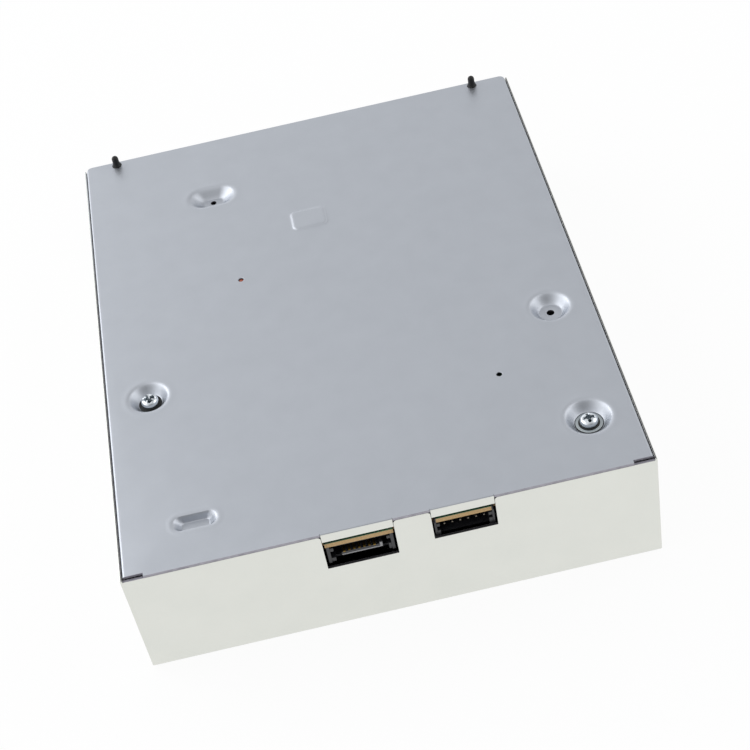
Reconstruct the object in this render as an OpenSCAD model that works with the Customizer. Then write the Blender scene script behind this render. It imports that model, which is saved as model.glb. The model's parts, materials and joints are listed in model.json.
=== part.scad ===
// A console DVD-ROM drive, lying on its top cover with the base cover up.
// X runs across the drive, Y from the connector wall to the tray's front, Z up.
// The origin is at the middle of the footprint, on the face that it lies on.
// A depth is measured down from the outer face of the base cover.

/* [Body] */
// Width over the casing
body_w = 134; // [132:0.5:146]
// Length from the connector wall to the front edge of the base cover
body_l = 166.6; // [163:0.2:186]
// Height between the outer faces of the two covers
body_h = 35.8; // [35.2:0.1:44]

/* [Casing] */
// Thickness of the zinc-plated steel sheet
sheet = 0.8; // [0.6:0.05:1]
// Outer radius of the casing's folds
fold_r = 1.2; // [1.05:0.05:2]
// How far the side walls' rims lie below the cover's face
rim_drop = 0.3; // [0.1:0.05:0.6]
// How far the side walls end behind the cover's front edge
wall_setback = 1; // [0.5:0.1:2]
// Radius of the round pressing under the clamp
press_r = 30; // [20:1:34]
// Height of the round pressing
press_h = 0.6; // [0.3:0.1:0.8]

/* [Base cover] */
// Gap between the cover's flange and the casing wall
cover_gap = 0.25; // [0.2:0.05:0.8]
// Outer radius of the cover's bent edge
bend_r = 1; // [0.9:0.05:1.4]
// Depth of the cover's side flanges
flange_deep = 4; // [2:0.5:5]
// Radius of the cover's front corners
corner_r = 2; // [1:0.25:3]
// How far the rear corners are stepped back from the wall
step_back = 1; // [0.95:0.05:1.4]
// Width of the stepped corners
step_w = 5.2; // [4:0.2:12]
// Depth of the screw dishes
dish_deep = 3; // [2:0.25:3.2]
// Radius of the middle dishes at the cover's face
dish_r = 6; // [5.5:0.1:6.5]
// Radius of the rear dish at the cover's face
rear_dish_r = 6.4; // [6:0.1:7]
// Radius of the middle dishes' flat floors
dish_floor_r = 3.2; // [3:0.1:3.8]
// Radius of the rear dish's flat floor
rear_floor_r = 3.8; // [3.4:0.1:4.2]
// Distance of the middle dishes from the casing's sides
dish_inset = 12; // [11:0.25:13]
// Distance of the middle dishes from the connector wall
mid_dish_y = 60.7; // [58:0.1:63]
// Distance of the rear dish from the connector wall
rear_dish_y = 18.5; // [17:0.1:20]
// Distance of the front dish from the front edge
front_dish_y = 27.2; // [26:0.1:28]
// Length of the oblong front dish
front_dish_l = 14.3; // [12:0.1:16]
// Width of the oblong front dish
front_dish_w = 8.8; // [8:0.1:10]
// Radius of the open fixing holes in two of the dishes
fix_hole_r = 1.05; // [0.9:0.05:1.2]

/* [Rear sockets] */
// Width of the data socket's window in the rear wall
data_w = 18.1; // [17.6:0.1:20]
// Depth of the data window's lower edge
data_low = 13.1; // [12.4:0.1:14]
// Width of the power socket's window in the rear wall
power_w = 16.1; // [15.8:0.1:18]
// Depth of the power window's lower edge
power_low = 11; // [10.8:0.1:12]
// Depth of both windows' upper edge, where the cover's tabs end
tab_low = 3; // [2.4:0.1:3.6]
// Pitch of the data contacts
data_pitch = 1.27; // [1.2:0.01:1.3]
// Pitch of the power pins
power_pitch = 2; // [1.8:0.05:2.1]

/* [Loader frame] */
// Thickness of the frame's side walls
frame_wall = 2.2; // [1.8:0.1:2.2]
// Thickness of the frame's deck
deck_t = 1.5; // [1.2:0.1:1.5]
// Radius of the two locating posts on the front beam
post_r = 1; // [0.8:0.05:1.1]
// Height of the posts above the base cover
post_h = 3.5; // [2.5:0.1:5]
// Distance of the left post from the casing's side
post_inset_left = 10.3; // [9:0.1:13]
// Distance of the right post from the casing's side
post_inset_right = 11.2; // [9:0.1:13]

/* [Tray] */
// Travel of the tray from closed to open
tray_travel = 128; // [120:1:128]
// Distance of the closed disc's centre from the drive's front edge
disc_inset = 66.3; // [66:0.1:67]
// Radius of the recess for a full-size disc
disc_r = 60.6; // [60.3:0.1:60.8]
// Radius of the recess for a small disc
small_disc_r = 40.6; // [40.2:0.1:41]
// Half width of the tray's slot for the pickup and the turntable
slot_half = 18; // [17.8:0.1:18.5]
// Thickness of the tray's floor
tray_floor_t = 1.8; // [1.5:0.1:2]
// Height of the tray from its underside to its rim
tray_h = 5; // [4.6:0.1:5.2]

/* [Gear train] */
// Module of all the gears
gear_m = 0.8; // [0.78:0.01:0.8]
// Teeth of the large wheels
wheel_teeth = 30; // [28:1:30]
// Teeth of the small pinions
pinion_teeth = 12; // [11:1:12]
// Teeth of the gear that drives the tray
rack_gear_teeth = 22; // [20:1:22]
// Teeth of the gear that moves the slider
cam_gear_teeth = 16; // [14:1:18]
// Radius of the gears' posts
gear_post_r = 1.5; // [1.2:0.05:1.6]
// Running clearance round a post or a pin
running_gap = 0.05; // [0.03:0.01:0.08]
// Radius of the belt's groove on the large pulley
pulley_r = 9; // [8:0.5:10]
// Radius of the belt's groove on the motor's pulley
motor_pulley_r = 3; // [2.5:0.25:3.5]
// Side of the belt's square section
belt_t = 1.2; // [1:0.1:1.3]
// Radius of the loading motor's can
motor_r = 12.2; // [11:0.1:12.4]

/* [Slider and traverse] */
// Travel of the slider
slider_travel = 14; // [12:0.5:14]
// How far the turntable drops
spindle_drop = 6.2; // [5.5:0.1:6.2]
// Distance of the traverse's pivot behind the disc's centre
pivot_reach = 81; // [80:0.25:82]
// Radius of the pivot pins
pivot_r = 1.5; // [1.2:0.05:1.6]
// Distance of the slider in front of the disc's centre
slider_reach = 25; // [25:0.1:25.5]

/* [Spindle and clamp] */
// Radius of the spindle motor's rotor
rotor_r = 12; // [11:0.25:12.2]
// Radius of the turntable
table_r = 15; // [14:0.25:15.2]
// Radius of the hub that centres the disc
hub_r = 7.4; // [7:0.05:7.45]
// Radius of the clamper's lower face
puck_r = 13.8; // [13:0.1:14]
// Radius of the clamper's flange
puck_flange_r = 17.4; // [16.5:0.1:18]

/* [Pickup] */
// Travel of the pickup along its rods
pickup_travel = 34; // [30:1:34]
// Radius of the guide rods
rod_r = 1.5; // [1.2:0.05:1.6]
// Distance of each guide rod from the drive's middle
rod_x = 22; // [21.5:0.1:22.5]
// Lead of the sled's screw for one turn
screw_lead = 3; // [2:0.5:4]
// Lens travel to either side of its middle
focus_travel = 0.5; // [0.3:0.1:0.6]

/* [Circuit board] */
// Thickness of the circuit board
board_t = 1.6; // [1.4:0.1:1.6]
// Depth of the board's face under the base cover
board_deep = 4.6; // [4.4:0.1:4.8]
// Length of the board from the connector wall
board_l = 53; // [50:0.5:54]

/* [Screws] */
// Radius of the screws' pan heads
head_r = 2.35; // [2.2:0.05:2.5]
// Height of the screws' pan heads
head_h = 1.9; // [1.6:0.1:2]
// Radius of the screws' shanks
shank_r = 1.2; // [1:0.05:1.3]

/* [Hidden] */
$fn = 48;

// Overrun that every cut shares, and the gap left where two faces lie close
cut = 1;
near = 0.3;
// Screw clearance in a through hole, and the play of a screw in its pilot hole
hole_gap = 0.25;
pilot_gap = 0.05;

// Frame of reference
front_y = body_l / 2;
rear_y = -body_l / 2;
wall_in = body_w / 2 - sheet;
floor_deep = body_h - sheet;
disc_y = front_y - disc_inset;

// Casing: rims, snap windows and the notches of the rear wall
wall_front = front_y - wall_setback;
seam_gap = 0.1;
rear_rim = sheet + seam_gap;
window_w = 5;
window_h = 1.8;
window_deep = 2.4;
window_from_end = 38;
snap_spots = [rear_y + window_from_end, front_y - window_from_end];
notch_r = 1;
data_x = -8.3;
power_x = 18.1;

// Base cover: edges, tabs, pressings and small holes
flange_x = wall_in - cover_gap;
flange_in = flange_x - sheet;
tab_gap = 0.15;
tab_bend_r = 0.9;
lip = 0.7;
front_dish_x = -29.4;
front_floor_w = 3.6;
rear_dish_inset = 12.4;
pad_x = -2.6;
pad_from_front = 47.3;
pad_w = 10.4;
pad_l = 8.4;
pad_r = 1.6;
pad_up = 0.4;
strip_x = -47;
strip_from_rear = 13.9;
strip_l = 11.8;
strip_w = 4.6;
strip_floor_l = 6.8;
strip_deep = 1.9;
strip_floor_w = 3;
pin_hole_r = 0.75;
pin_hole_a_x = -25.2;
pin_hole_a_from_front = 67.4;
pin_hole_b_x = 36.4;
pin_hole_b_from_rear = 39.9;
front_dish_pos = [front_dish_x, front_y - front_dish_y];
side_dish_pos = [body_w / 2 - dish_inset, rear_y + mid_dish_y];
left_screw_pos = [-body_w / 2 + dish_inset, rear_y + mid_dish_y];
rear_screw_pos = [body_w / 2 - rear_dish_inset, rear_y + rear_dish_y];
boss_top = dish_deep + sheet;

// Loader frame
post_left = body_w / 2 - post_inset_left;
post_right = body_w / 2 - post_inset_right;
frame_gap = 0.3;
frame_side_gap = 0.65;
frame_x = flange_in - frame_side_gap;
frame_in = frame_x - frame_wall;
frame_low = 1;
frame_front = front_y - frame_gap;
beam_t = 3;
beam_back = frame_front - beam_t;
beam_deep = 15;
frame_back = 7.3;
frame_rear = rear_y + frame_back;
wall_deep = 29.5;
deck_deep = 15.3;
deck_in = 39.5;
front_deck_low = 6.6;
front_deck_t = 1.6;
beam_from_rear = 11.7;
rear_beam_back = rear_y + beam_from_rear;
rear_beam_t = 2.2;
boss_r = 3.6;
boss_deep = 7;
post_base_r = 1.35;
post_base_h = 0.8;
post_inset = 1.6;
lug_l = 6;
lug_h = 1.5;
lug_reach = 1.9;
lug_a = 8;
lug_b = 44;
lug_c = 90;
lug_spots = [front_y - lug_a, front_y - lug_b, front_y - lug_c];
leg_w = 5;
leg_l = 10;
leg_from_end = 18;
leg_spots = [front_y - leg_from_end, rear_y + leg_from_end];
rib_t = 1.4;

// Tray
tray_gap = 0.4;
tray_x = frame_in - tray_gap;
tray_low = 19.6;
tray_top = tray_low + tray_h;
tray_floor = tray_low + tray_floor_t;
tray_skin_t = 2;
tray_inset = 2.9;
tray_front_y = front_y - tray_inset;
tray_from_rear = 11.3;
tray_rear_y = rear_y + tray_from_rear;
small_disc_step = 0.8;
scoop_r = 10;
scoop_reach = 64;
scoop_turn = 38;
runner_t = 1.4;
runner_low = deck_deep + near;
runner_foot_t = 1.4;
runner_foot_w = 1.8;
runner_inset = 1.9;
front_plate_t = 2.5;
front_plate_low = beam_deep + frame_gap + seam_gap;
front_plate_top = floor_deep - frame_gap * 2;
front_plate_x = wall_in - cover_gap - frame_side_gap;
clip_slot_w = 6;
clip_slot_h = 1.6;
clip_slot_x = 42;

// Gear train: the shafts stand in one row across the front
train_from_front = 20.3;
train_y = front_y - train_from_front;
wheel_r = gear_m * wheel_teeth / 2;
pinion_r = gear_m * pinion_teeth / 2;
rack_gear_r = gear_m * rack_gear_teeth / 2;
cam_gear_r = gear_m * cam_gear_teeth / 2;
tooth_tip_share = 0.7;
tooth_root_share = 1;
tooth_backlash_share = 0.1;
pressure_angle = 20;
rack_inset = 9.9;
rack_pitch_x = -tray_x + rack_inset;
rack_back_t = 4;
drive_x = rack_pitch_x + rack_gear_r;
idler_x = drive_x + wheel_r + pinion_r;
belt_x = idler_x + wheel_r + pinion_r;
motor_x = 24;
low_gear_deep = 9.2;
low_gear_t = 2.8;
mid_gear_deep = 12.8;
mid_gear_t = 2.4;
rack_gear_deep = 15.8;
top_of_train = tray_low - near * 2;
gear_hub_r = 3;
belt_deep = 16.8;
pulley_flange_t = 0.6;
pulley_flange_r = 1;
motor_plate_half = 14.4;
motor_plate_low = 13.8;
motor_shaft_r = 1;
motor_h = 12;
motor_boss_r = 3;
motor_boss_h = 1;
motor_screw_reach = 8.5;
motor_head_r = 1.9;
motor_head_h = 1.2;
motor_shank_r = 0.95;

// Slider: a plate with two sloping slots, and a rack for its gear
slider_y = disc_y + slider_reach;
slider_t = 2.4;
slider_low = 2.4;
slider_deep = 15.7;
slider_rack_gap = 2.6;
slider_rack_y = slider_y + slider_t + slider_rack_gap;
slider_rack_back = 1.2;
cam_x = 1;
cam_y = slider_rack_y + cam_gear_r;
pin_x = 20;
pin_slack = 0.35;
slider_end = 4.5;
slider_wing_gap = 6.3;
hook_t = 1.4;
guide_in = 31;
deck_front = slider_y + slider_t + near + hook_t;
front_deck_back = deck_front;

// Traverse: a hinged holder, and the plate that floats in it on rubber
pivot_y = disc_y - pivot_reach;
pivot_deep = 13;
pin_y = slider_y + slider_t + seam_gap;
pin_reach = slider_y + slider_t / 2 - pivot_y;
lift_angle = asin(spindle_drop / pivot_reach);
pin_drop = pin_reach * sin(lift_angle);
holder_x = 37.5;
holder_wall = 4.3;
holder_low = 10.6;
holder_deep = 13.4;
holder_gap = 4;
holder_front = slider_y - holder_gap;
holder_back = 2;
holder_rear = pivot_y - holder_back;
holder_rib_h = 2;
pivot_end = 42.6;
pivot_block_r = 3.5;
damper_r = 3.4;
damper_neck_r = 2.3;
damper_h = 4.6;
damper_x = 32.4;
damper_a = 11.5;
damper_b = 6;
damper_front_y = disc_y + damper_a;
damper_rear_y = pivot_y + damper_b;
damper_shank_r = 1;
damper_bore_r = 1.1;
damper_head_r = 2.4;
damper_head_h = 1.1;
plate_deep = 15.2;
plate_t = 1;
plate_x = 33;
plate_a = 17;
plate_b = 2.5;
plate_front = disc_y + plate_a;
plate_rear = pivot_y + plate_b;
seat_r = 3.6;

// Spindle motor, turntable and clamper
table_deep = 23;
table_t = 1.8;
pad_t = 0.6;
table_pad_w = 3;
hub_h = 2.6;
hub_tip_r = 6;
shaft_r = 1.25;
bearing_r = 3;
bearing_low = 11.4;
rotor_gap = 0.5;
rotor_wall = 1;
stator_in = 3.2;
stator_teeth = 9;
stator_neck_w = 1.6;
stator_shoe_t = 1;
bridge_t = 1;
bridge_half = 14;
bridge_hole_r = 15;
bridge_ring_r = 24;
bridge_flange_h = 2.4;
bridge_screw_in = 2;
bridge_screw_x = frame_in - bridge_screw_in;
bridge_screw_y = 9;
bridge_boss_r = 2.6;
bridge_boss_h = 3.9;
puck_low = tray_top + near * 2;
puck_flange_t = 1.4;
puck_recess_r = 8.4;
puck_recess_h = 1.8;
puck_wall = 2.4;
magnet_r = 10.4;
magnet_hole_r = 5;
magnet_t = 2;
clamp_plate_t = 0.8;

// Pickup, its rods and its drive
lens_home = 24;
lens_y = disc_y - lens_home;
body_rear = 18;
body_front = 9;
pickup_x = 18.5;
pickup_low = 10.4;
pickup_deep = 18.9;
rod_deep = 13.2;
rod_a = 12.6;
rod_b = 3.6;
rod_front = disc_y - rod_a;
rod_rear = pivot_y + rod_b;
ear_w = 6;
ear_l = 8;
screw_x = -27;
screw_r = 1.4;
sled_r = 5;
sled_l = 12;
actuator_half = 11;
actuator_deep = 20.4;
holder_half = 5.5;
lens_r = 2.2;
lens_top = 21.6;
yoke_t = 1;
magnet_y = 1.6;

// Circuit board and what it carries
board_low = board_deep;
board_base = board_deep + board_t;
board_inset_l = 4.3;
board_inset_r = 7.5;
board_left = -frame_in + board_inset_l;
board_right = deck_in + board_inset_r;
tongue_gap = 0.9;
board_gap = 1.9;
board_rear = rear_y + tongue_gap;
board_edge = rear_y + board_gap;
board_front = rear_y + board_l;
data_tongue_w = 17.3;
power_tongue_w = 14;
board_corner_r = 1.5;
data_body_w = 16.9;
data_body_h = 6;
data_body_l = 9.6;
data_wall = 0.8;
data_side = 1.2;
data_tongue_l = 10.4;
data_tongue_t = 1.2;
data_tongue_x = 0.3;
data_key_h = 0.8;
data_key_gap = 0.4;
data_recess = 3.2;
contact_t = 0.2;
contact_w = 0.7;
power_body_w = 15.2;
power_body_h = 5.4;
power_body_l = 8.6;
power_wall = 1;
power_roof = 0.6;
power_recess = 3;
power_pin_w = 0.5;
chip_t = 1.4;
controller_w = 20;
controller_x = -6;
controller_row = 26;
controller_y = board_front - controller_row;
driver_w = 12;
driver_x = -32;
driver_row = 24;
driver_y = board_front - driver_row;
memory_w = 8;
memory_x = 22;
memory_row = 27;
memory_y = board_front - memory_row;
chip_lead = 1.6;
screw_inset = 4;
screw_row = 30;
board_screw_spots = [for (x = [board_left + screw_inset * 3 / 2, board_right - screw_inset * 2 / 3],
    y = [0, screw_row]) [x, board_front - screw_inset - y]];
board_post_r = 2.4;
screw_l = 8;

// Basic shapes
module box2(x0, y0, x1, y1) {
    translate([x0, y0]) square([x1 - x0, y1 - y0]);
}

module round2(x0, y0, x1, y1, r) {
    box2(x0 + r, y0, x1 - r, y1);
    box2(x0, y0 + r, x1, y1 - r);
    for (x = [x0 + r, x1 - r], y = [y0 + r, y1 - r]) translate([x, y]) circle(r);
}

// A rectangle with its two lower corners rounded
module tub2(x0, y0, x1, y1, r) {
    box2(x0, y0 + r, x1, y1);
    box2(x0 + r, y0, x1 - r, y1);
    for (x = [x0 + r, x1 - r]) translate([x, y0 + r]) circle(r);
}

// An oblong with round ends, along X
module oblong2(l, w) {
    box2(-(l - w) / 2, -w / 2, (l - w) / 2, w / 2);
    for (s = [-1, 1]) translate([s * (l - w) / 2, 0]) circle(w / 2);
}

// A plan shape made solid between two depths under the base cover's face
module slab(d0, d1) {
    translate([0, 0, body_h - d1]) linear_extrude(d1 - d0) children();
}

// A profile in X and Z made solid from one Y to another
module along_y(y0, y1) {
    translate([0, y1, 0]) rotate([90, 0, 0]) linear_extrude(y1 - y0) children();
}

// A profile in Y and Z made solid from one X to another
module along_x(x0, x1) {
    translate([x0, 0, 0]) rotate([90, 0, 90]) linear_extrude(x1 - x0) children();
}

module at(p, deep) {
    translate([p[0], p[1], body_h - deep]) children();
}

// A round post or hole between two depths
module rod(p, r, d0, d1) {
    at(p, d1) cylinder(r = r, h = d1 - d0);
}

// Involute gears: angles in degrees, lengths from the module
function polar(r, a) = [r * cos(a), r * sin(a)];
function base_r(r) = r * cos(pressure_angle);
function roll(r, rb) = r <= rb ? 0 : sqrt(r * r / (rb * rb) - 1) * 180 / PI - acos(rb / r);
function half_tooth(r, rp, teeth) = 90 / teeth * (1 - tooth_backlash_share)
    + roll(rp, base_r(rp)) - roll(r, base_r(rp));
function tooth_radii(rp) = let (
    root = rp - gear_m * tooth_root_share,
    tip = rp + gear_m * tooth_tip_share,
    low = max(root, base_r(rp))
) [root, low, (low + rp) / 2, rp, (rp + tip) / 2, tip];
function gear_points(teeth, phase) = let (rp = gear_m * teeth / 2, rs = tooth_radii(rp)) [
    for (i = [0 : teeth - 1], side = [-1, 1], k = [0 : len(rs) - 1])
        let (r = side < 0 ? rs[k] : rs[len(rs) - 1 - k])
        polar(r, phase + 360 / teeth * i + side * half_tooth(r, rp, teeth))
];

module gear2(teeth, phase) {
    polygon(gear_points(teeth, phase));
}

// A rack along X with its teeth towards +Y, a gap at X = 0 and its pitch line at Y = 0
module rack2(x0, x1, back) {
    p = PI * gear_m;
    tip = gear_m * tooth_tip_share;
    root = gear_m * tooth_root_share;
    half = p / 4 * (1 - tooth_backlash_share);
    slope = tan(pressure_angle);
    box2(x0, -root - back, x1, -root);
    for (i = [ceil(x0 / p) : floor(x1 / p) - 1]) translate([(i + 1 / 2) * p, 0]) polygon([
        [-half - root * slope, -root], [half + root * slope, -root],
        [half - tip * slope, tip], [-half + tip * slope, tip]
    ]);
}

// A pan-head screw standing on a face at a depth, its shank pointing down
module pan_screw(p, seat, r, h, sr, l) {
    difference() {
        union() {
            rod(p, r, seat - h * 0.55, seat);
            at(p, seat - h * 0.55) intersection() {
                cylinder(r = r, h = h * 0.45);
                translate([0, 0, -r * 1.35]) sphere(r * 1.35 + h * 0.45);
            }
            rod(p, sr, seat, seat + l);
        }
        at(p, seat - h * 0.45) for (a = [0, 90]) rotate([0, 0, a])
            translate([-r * 0.6, -r * 0.12, 0]) cube([r * 1.2, r * 0.24, h]);
    }
}

// Casing
module casing_block(inset, r) {
    intersection() {
        along_y(rear_y + inset, wall_front + inset)
            tub2(-body_w / 2 + inset, inset, body_w / 2 - inset, body_h + inset, r);
        along_x(-body_w / 2, body_w / 2)
            tub2(rear_y + inset, inset, front_y + body_h, body_h + inset, r);
    }
}

// The windows of the rear wall, open at its rim, with rounded upper corners
module wall_notch(x, w, low) {
    along_y(rear_y - cut, rear_y + sheet + cut) {
        box2(x - w / 2, body_h - low, x + w / 2, body_h + cut);
        for (s = [-1, 1]) translate([x + s * w / 2, body_h - rear_rim]) difference() {
            box2(-notch_r, -notch_r, notch_r, notch_r);
            translate([s * notch_r, -notch_r]) circle(notch_r);
            box2(s > 0 ? -notch_r - cut : 0, -notch_r - cut, s > 0 ? 0 : notch_r + cut, cut * 2);
        }
    }
}

module casing() {
    color("gainsboro") difference() {
        union() {
            difference() {
                casing_block(0, fold_r);
                casing_block(sheet, fold_r - sheet);
            }
            translate([0, disc_y, press_h]) cylinder(r = press_r + sheet, h = sheet);
        }
        translate([0, disc_y, -cut]) cylinder(r = press_r, h = press_h + cut);
        slab(-cut, rim_drop) box2(-body_w, rear_y - cut, body_w, front_y + cut);
        slab(-cut, rear_rim) box2(-wall_in, rear_y - cut, wall_in, rear_y + sheet + cut);
        wall_notch(data_x, data_w, data_low);
        wall_notch(power_x, power_w, power_low);
        for (y = snap_spots)
            slab(window_deep, window_deep + window_h)
                box2(-body_w, y - window_w / 2, body_w, y + window_w / 2);
    }
}

// Base cover
module cover_outline2() {
    w = flange_x + cut;
    box2(-w, rear_y + step_back, w, front_y - corner_r);
    box2(-flange_x + step_w, rear_y, flange_x - step_w, front_y - corner_r);
    box2(-flange_x + corner_r, 0, flange_x - corner_r, front_y);
    for (s = [-1, 1]) translate([s * (flange_x - corner_r), front_y - corner_r]) circle(corner_r);
}

module cover_sheet() {
    intersection() {
        along_y(rear_y, front_y) mirror([0, 1]) translate([0, -body_h]) difference() {
            tub2(-flange_x, 0, flange_x, flange_deep, bend_r);
            tub2(-flange_in, sheet, flange_in, flange_deep + cut, bend_r - sheet);
        }
        slab(-cut, flange_deep + cut) cover_outline2();
    }
}

// A tab bent down over a window of the rear wall
module cover_tab(x, w) {
    along_x(x - w / 2 + tab_gap, x + w / 2 - tab_gap) translate([rear_y, body_h - tab_bend_r]) {
        translate([tab_bend_r, 0]) intersection() {
            difference() {
                circle(tab_bend_r);
                circle(tab_bend_r - sheet);
            }
            box2(-tab_bend_r, 0, 0, tab_bend_r);
        }
        box2(0, tab_bend_r - tab_low, sheet, 0);
        box2(tab_bend_r, tab_bend_r - sheet, tab_bend_r * 2, tab_bend_r);
    }
}

// The section of a pressed dish, from its hole to its edge
module dish_half2(r, floor_r, hole_r) {
    polygon([
        [hole_r, -dish_deep], [floor_r, -dish_deep], [floor_r + lip / 2, -dish_deep + lip / 3],
        [r - lip, -lip / 2], [r - lip / 3, -lip / 8], [r, 0], [r, -sheet], [r - lip / 2, -sheet - lip / 4],
        [floor_r + lip / 4, -dish_deep - sheet + lip / 3], [floor_r, -dish_deep - sheet],
        [hole_r, -dish_deep - sheet]
    ]);
}

module round_dish(p, r, floor_r, hole_r) {
    at(p, 0) rotate_extrude() dish_half2(r, floor_r, hole_r);
}

module oblong_dish(p) {
    r = front_dish_w / 2;
    run = (front_dish_l - front_dish_w) / 2;
    floor_r = front_floor_w / 2;
    at(p, 0) difference() {
        union() {
            for (s = [-1, 1]) translate([s * run, 0, 0]) intersection() {
                rotate_extrude() dish_half2(r, floor_r, 0);
                translate([s > 0 ? 0 : -r - cut, -r - cut, -r * 2]) cube([r + cut, (r + cut) * 2, r * 3]);
            }
            for (a = [0, 180]) rotate([90, 0, 90 + a]) translate([0, 0, -run])
                linear_extrude(run * 2) dish_half2(r, floor_r, 0);
        }
        translate([-run, -r, -sheet - dish_deep - cut]) cube([run * 2, r * 2, cut]);
        translate([0, 0, -dish_deep - sheet - cut]) cylinder(r = fix_hole_r, h = sheet + cut * 2);
    }
}

// A pressing whose four walls slope to its floor
module slope2(top, floor, grow, deep) {
    polygon([[-top / 2 - grow, 0], [-floor / 2 - grow, -deep], [floor / 2 + grow, -deep], [top / 2 + grow, 0]]);
}

module strip_form(grow) {
    y = rear_y + strip_from_rear;
    intersection() {
        along_y(y - strip_w, y + strip_w) translate([strip_x, body_h])
            slope2(strip_l, strip_floor_l, grow, strip_deep + grow);
        along_x(strip_x - strip_l, strip_x + strip_l) translate([y, body_h])
            slope2(strip_w, strip_floor_w, grow, strip_deep + grow);
    }
}

module pressed_strip() {
    difference() {
        strip_form(sheet);
        strip_form(0);
    }
}

module base_cover() {
    y_pad = front_y - pad_from_front;
    color("lightslategray") {
        difference() {
            union() {
                cover_sheet();
                slab(-pad_up, sheet - pad_up)
                    round2(pad_x - pad_w / 2, y_pad - pad_l / 2, pad_x + pad_w / 2, y_pad + pad_l / 2, pad_r);
            }
            slab(sheet - pad_up, sheet + cut) round2(pad_x - pad_w / 2, y_pad - pad_l / 2,
                pad_x + pad_w / 2, y_pad + pad_l / 2, pad_r);
            for (p = [side_dish_pos, left_screw_pos]) rod(p, dish_r, -cut, sheet + cut);
            rod(rear_screw_pos, rear_dish_r, -cut, sheet + cut);
            slab(-cut, sheet + cut) translate(front_dish_pos) oblong2(front_dish_l, front_dish_w);
            slab(-cut, sheet + cut) translate([strip_x, rear_y + strip_from_rear])
                square([strip_l, strip_w], center = true);
            rod([pin_hole_a_x, front_y - pin_hole_a_from_front], pin_hole_r, -cut, sheet + cut);
            rod([pin_hole_b_x, rear_y + pin_hole_b_from_rear], pin_hole_r, -cut, sheet + cut);
            slab(-cut, sheet + cut) for (x = [-post_left, post_right]) translate([x, front_y - post_inset]) {
                circle(post_base_r + hole_gap);
                box2(-post_base_r - hole_gap, 0, post_base_r + hole_gap, post_inset + cut);
            }
            slab(-cut, sheet + cut) for (w = [[data_x, data_w], [power_x, power_w]])
                box2(w[0] - w[1] / 2, rear_y - cut, w[0] + w[1] / 2, rear_y + tab_bend_r);
        }
        for (s = [0, 1], y = snap_spots) mirror([s, 0, 0])
            along_y(y - window_w / 2 + tab_gap, y + window_w / 2 - tab_gap) polygon([
                [flange_x - sheet / 2, body_h - window_deep], [flange_x, body_h - window_deep],
                [wall_in + sheet / 2, body_h - flange_deep + seam_gap],
                [flange_x - sheet / 2, body_h - flange_deep + seam_gap]
            ]);
        cover_tab(data_x, data_w);
        cover_tab(power_x, power_w);
        round_dish(side_dish_pos, dish_r, dish_floor_r, fix_hole_r);
        round_dish(left_screw_pos, dish_r, dish_floor_r, shank_r + hole_gap);
        round_dish(rear_screw_pos, rear_dish_r, rear_floor_r, shank_r + hole_gap);
        oblong_dish(front_dish_pos);
        pressed_strip();
    }
}

// Loader frame: walls, beams, decks, bosses and bearings in one moulding
module frame_walls() {
    for (s = [-1, 1]) {
        slab(frame_low, wall_deep) box2(s > 0 ? frame_in : -frame_x, frame_rear,
            s > 0 ? frame_x : -frame_in, beam_back);
        for (y = leg_spots) slab(wall_deep - deck_t, floor_deep)
            box2(s > 0 ? frame_x - leg_w : -frame_x, y - leg_l / 2, s > 0 ? frame_x : leg_w - frame_x, y + leg_l / 2);
        for (y = lug_spots) slab(runner_low + runner_foot_t + near, runner_low + runner_foot_t + near + lug_h)
            box2(s > 0 ? frame_in - lug_reach : -frame_in, y - lug_l / 2,
                s > 0 ? frame_in : lug_reach - frame_in, y + lug_l / 2);
        for (y = [-bridge_screw_y, bridge_screw_y]) {
            rod([s * bridge_screw_x, disc_y + y], bridge_boss_r, wall_deep - bridge_boss_h, wall_deep);
            slab(wall_deep - bridge_boss_h, wall_deep) box2(s > 0 ? bridge_screw_x : -frame_in,
                disc_y + y - bridge_boss_r, s > 0 ? frame_in : -bridge_screw_x, disc_y + y + bridge_boss_r);
        }
    }
}

module frame_decks() {
    for (s = [-1, 1]) slab(deck_deep - deck_t, deck_deep)
        box2(s > 0 ? deck_in : -frame_in, rear_beam_back, s > 0 ? frame_in : -deck_in, deck_front);
    slab(front_deck_low, front_deck_low + front_deck_t)
        box2(-frame_in, front_deck_back, frame_in, beam_back);
    slab(frame_low, beam_deep) box2(-frame_x, beam_back, frame_x, frame_front);
    slab(board_base, deck_deep)
        box2(-frame_in, rear_beam_back, frame_in, rear_beam_back + rear_beam_t);
    slab(motor_plate_low, deck_deep) box2(motor_x - motor_plate_half, train_y - motor_plate_half,
        motor_x + motor_plate_half, beam_back);
    for (s = [-1, 1]) slab(front_deck_low, deck_deep) box2(motor_x + s * motor_plate_half - rib_t / 2,
        train_y - motor_plate_half, motor_x + s * motor_plate_half + rib_t / 2, beam_back);
    for (s = [-1, 1]) slab(board_base, deck_deep) box2(s > 0 ? deck_in : -deck_in - rib_t,
        rear_beam_back, s > 0 ? deck_in + rib_t : -deck_in, pivot_y - pivot_block_r);
    for (s = [-1, 1]) slab(deck_deep - deck_t * 2, deck_deep) box2(s > 0 ? deck_in : -deck_in - rib_t,
        pivot_y, s > 0 ? deck_in + rib_t : -deck_in, slider_y - near);
}

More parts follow.
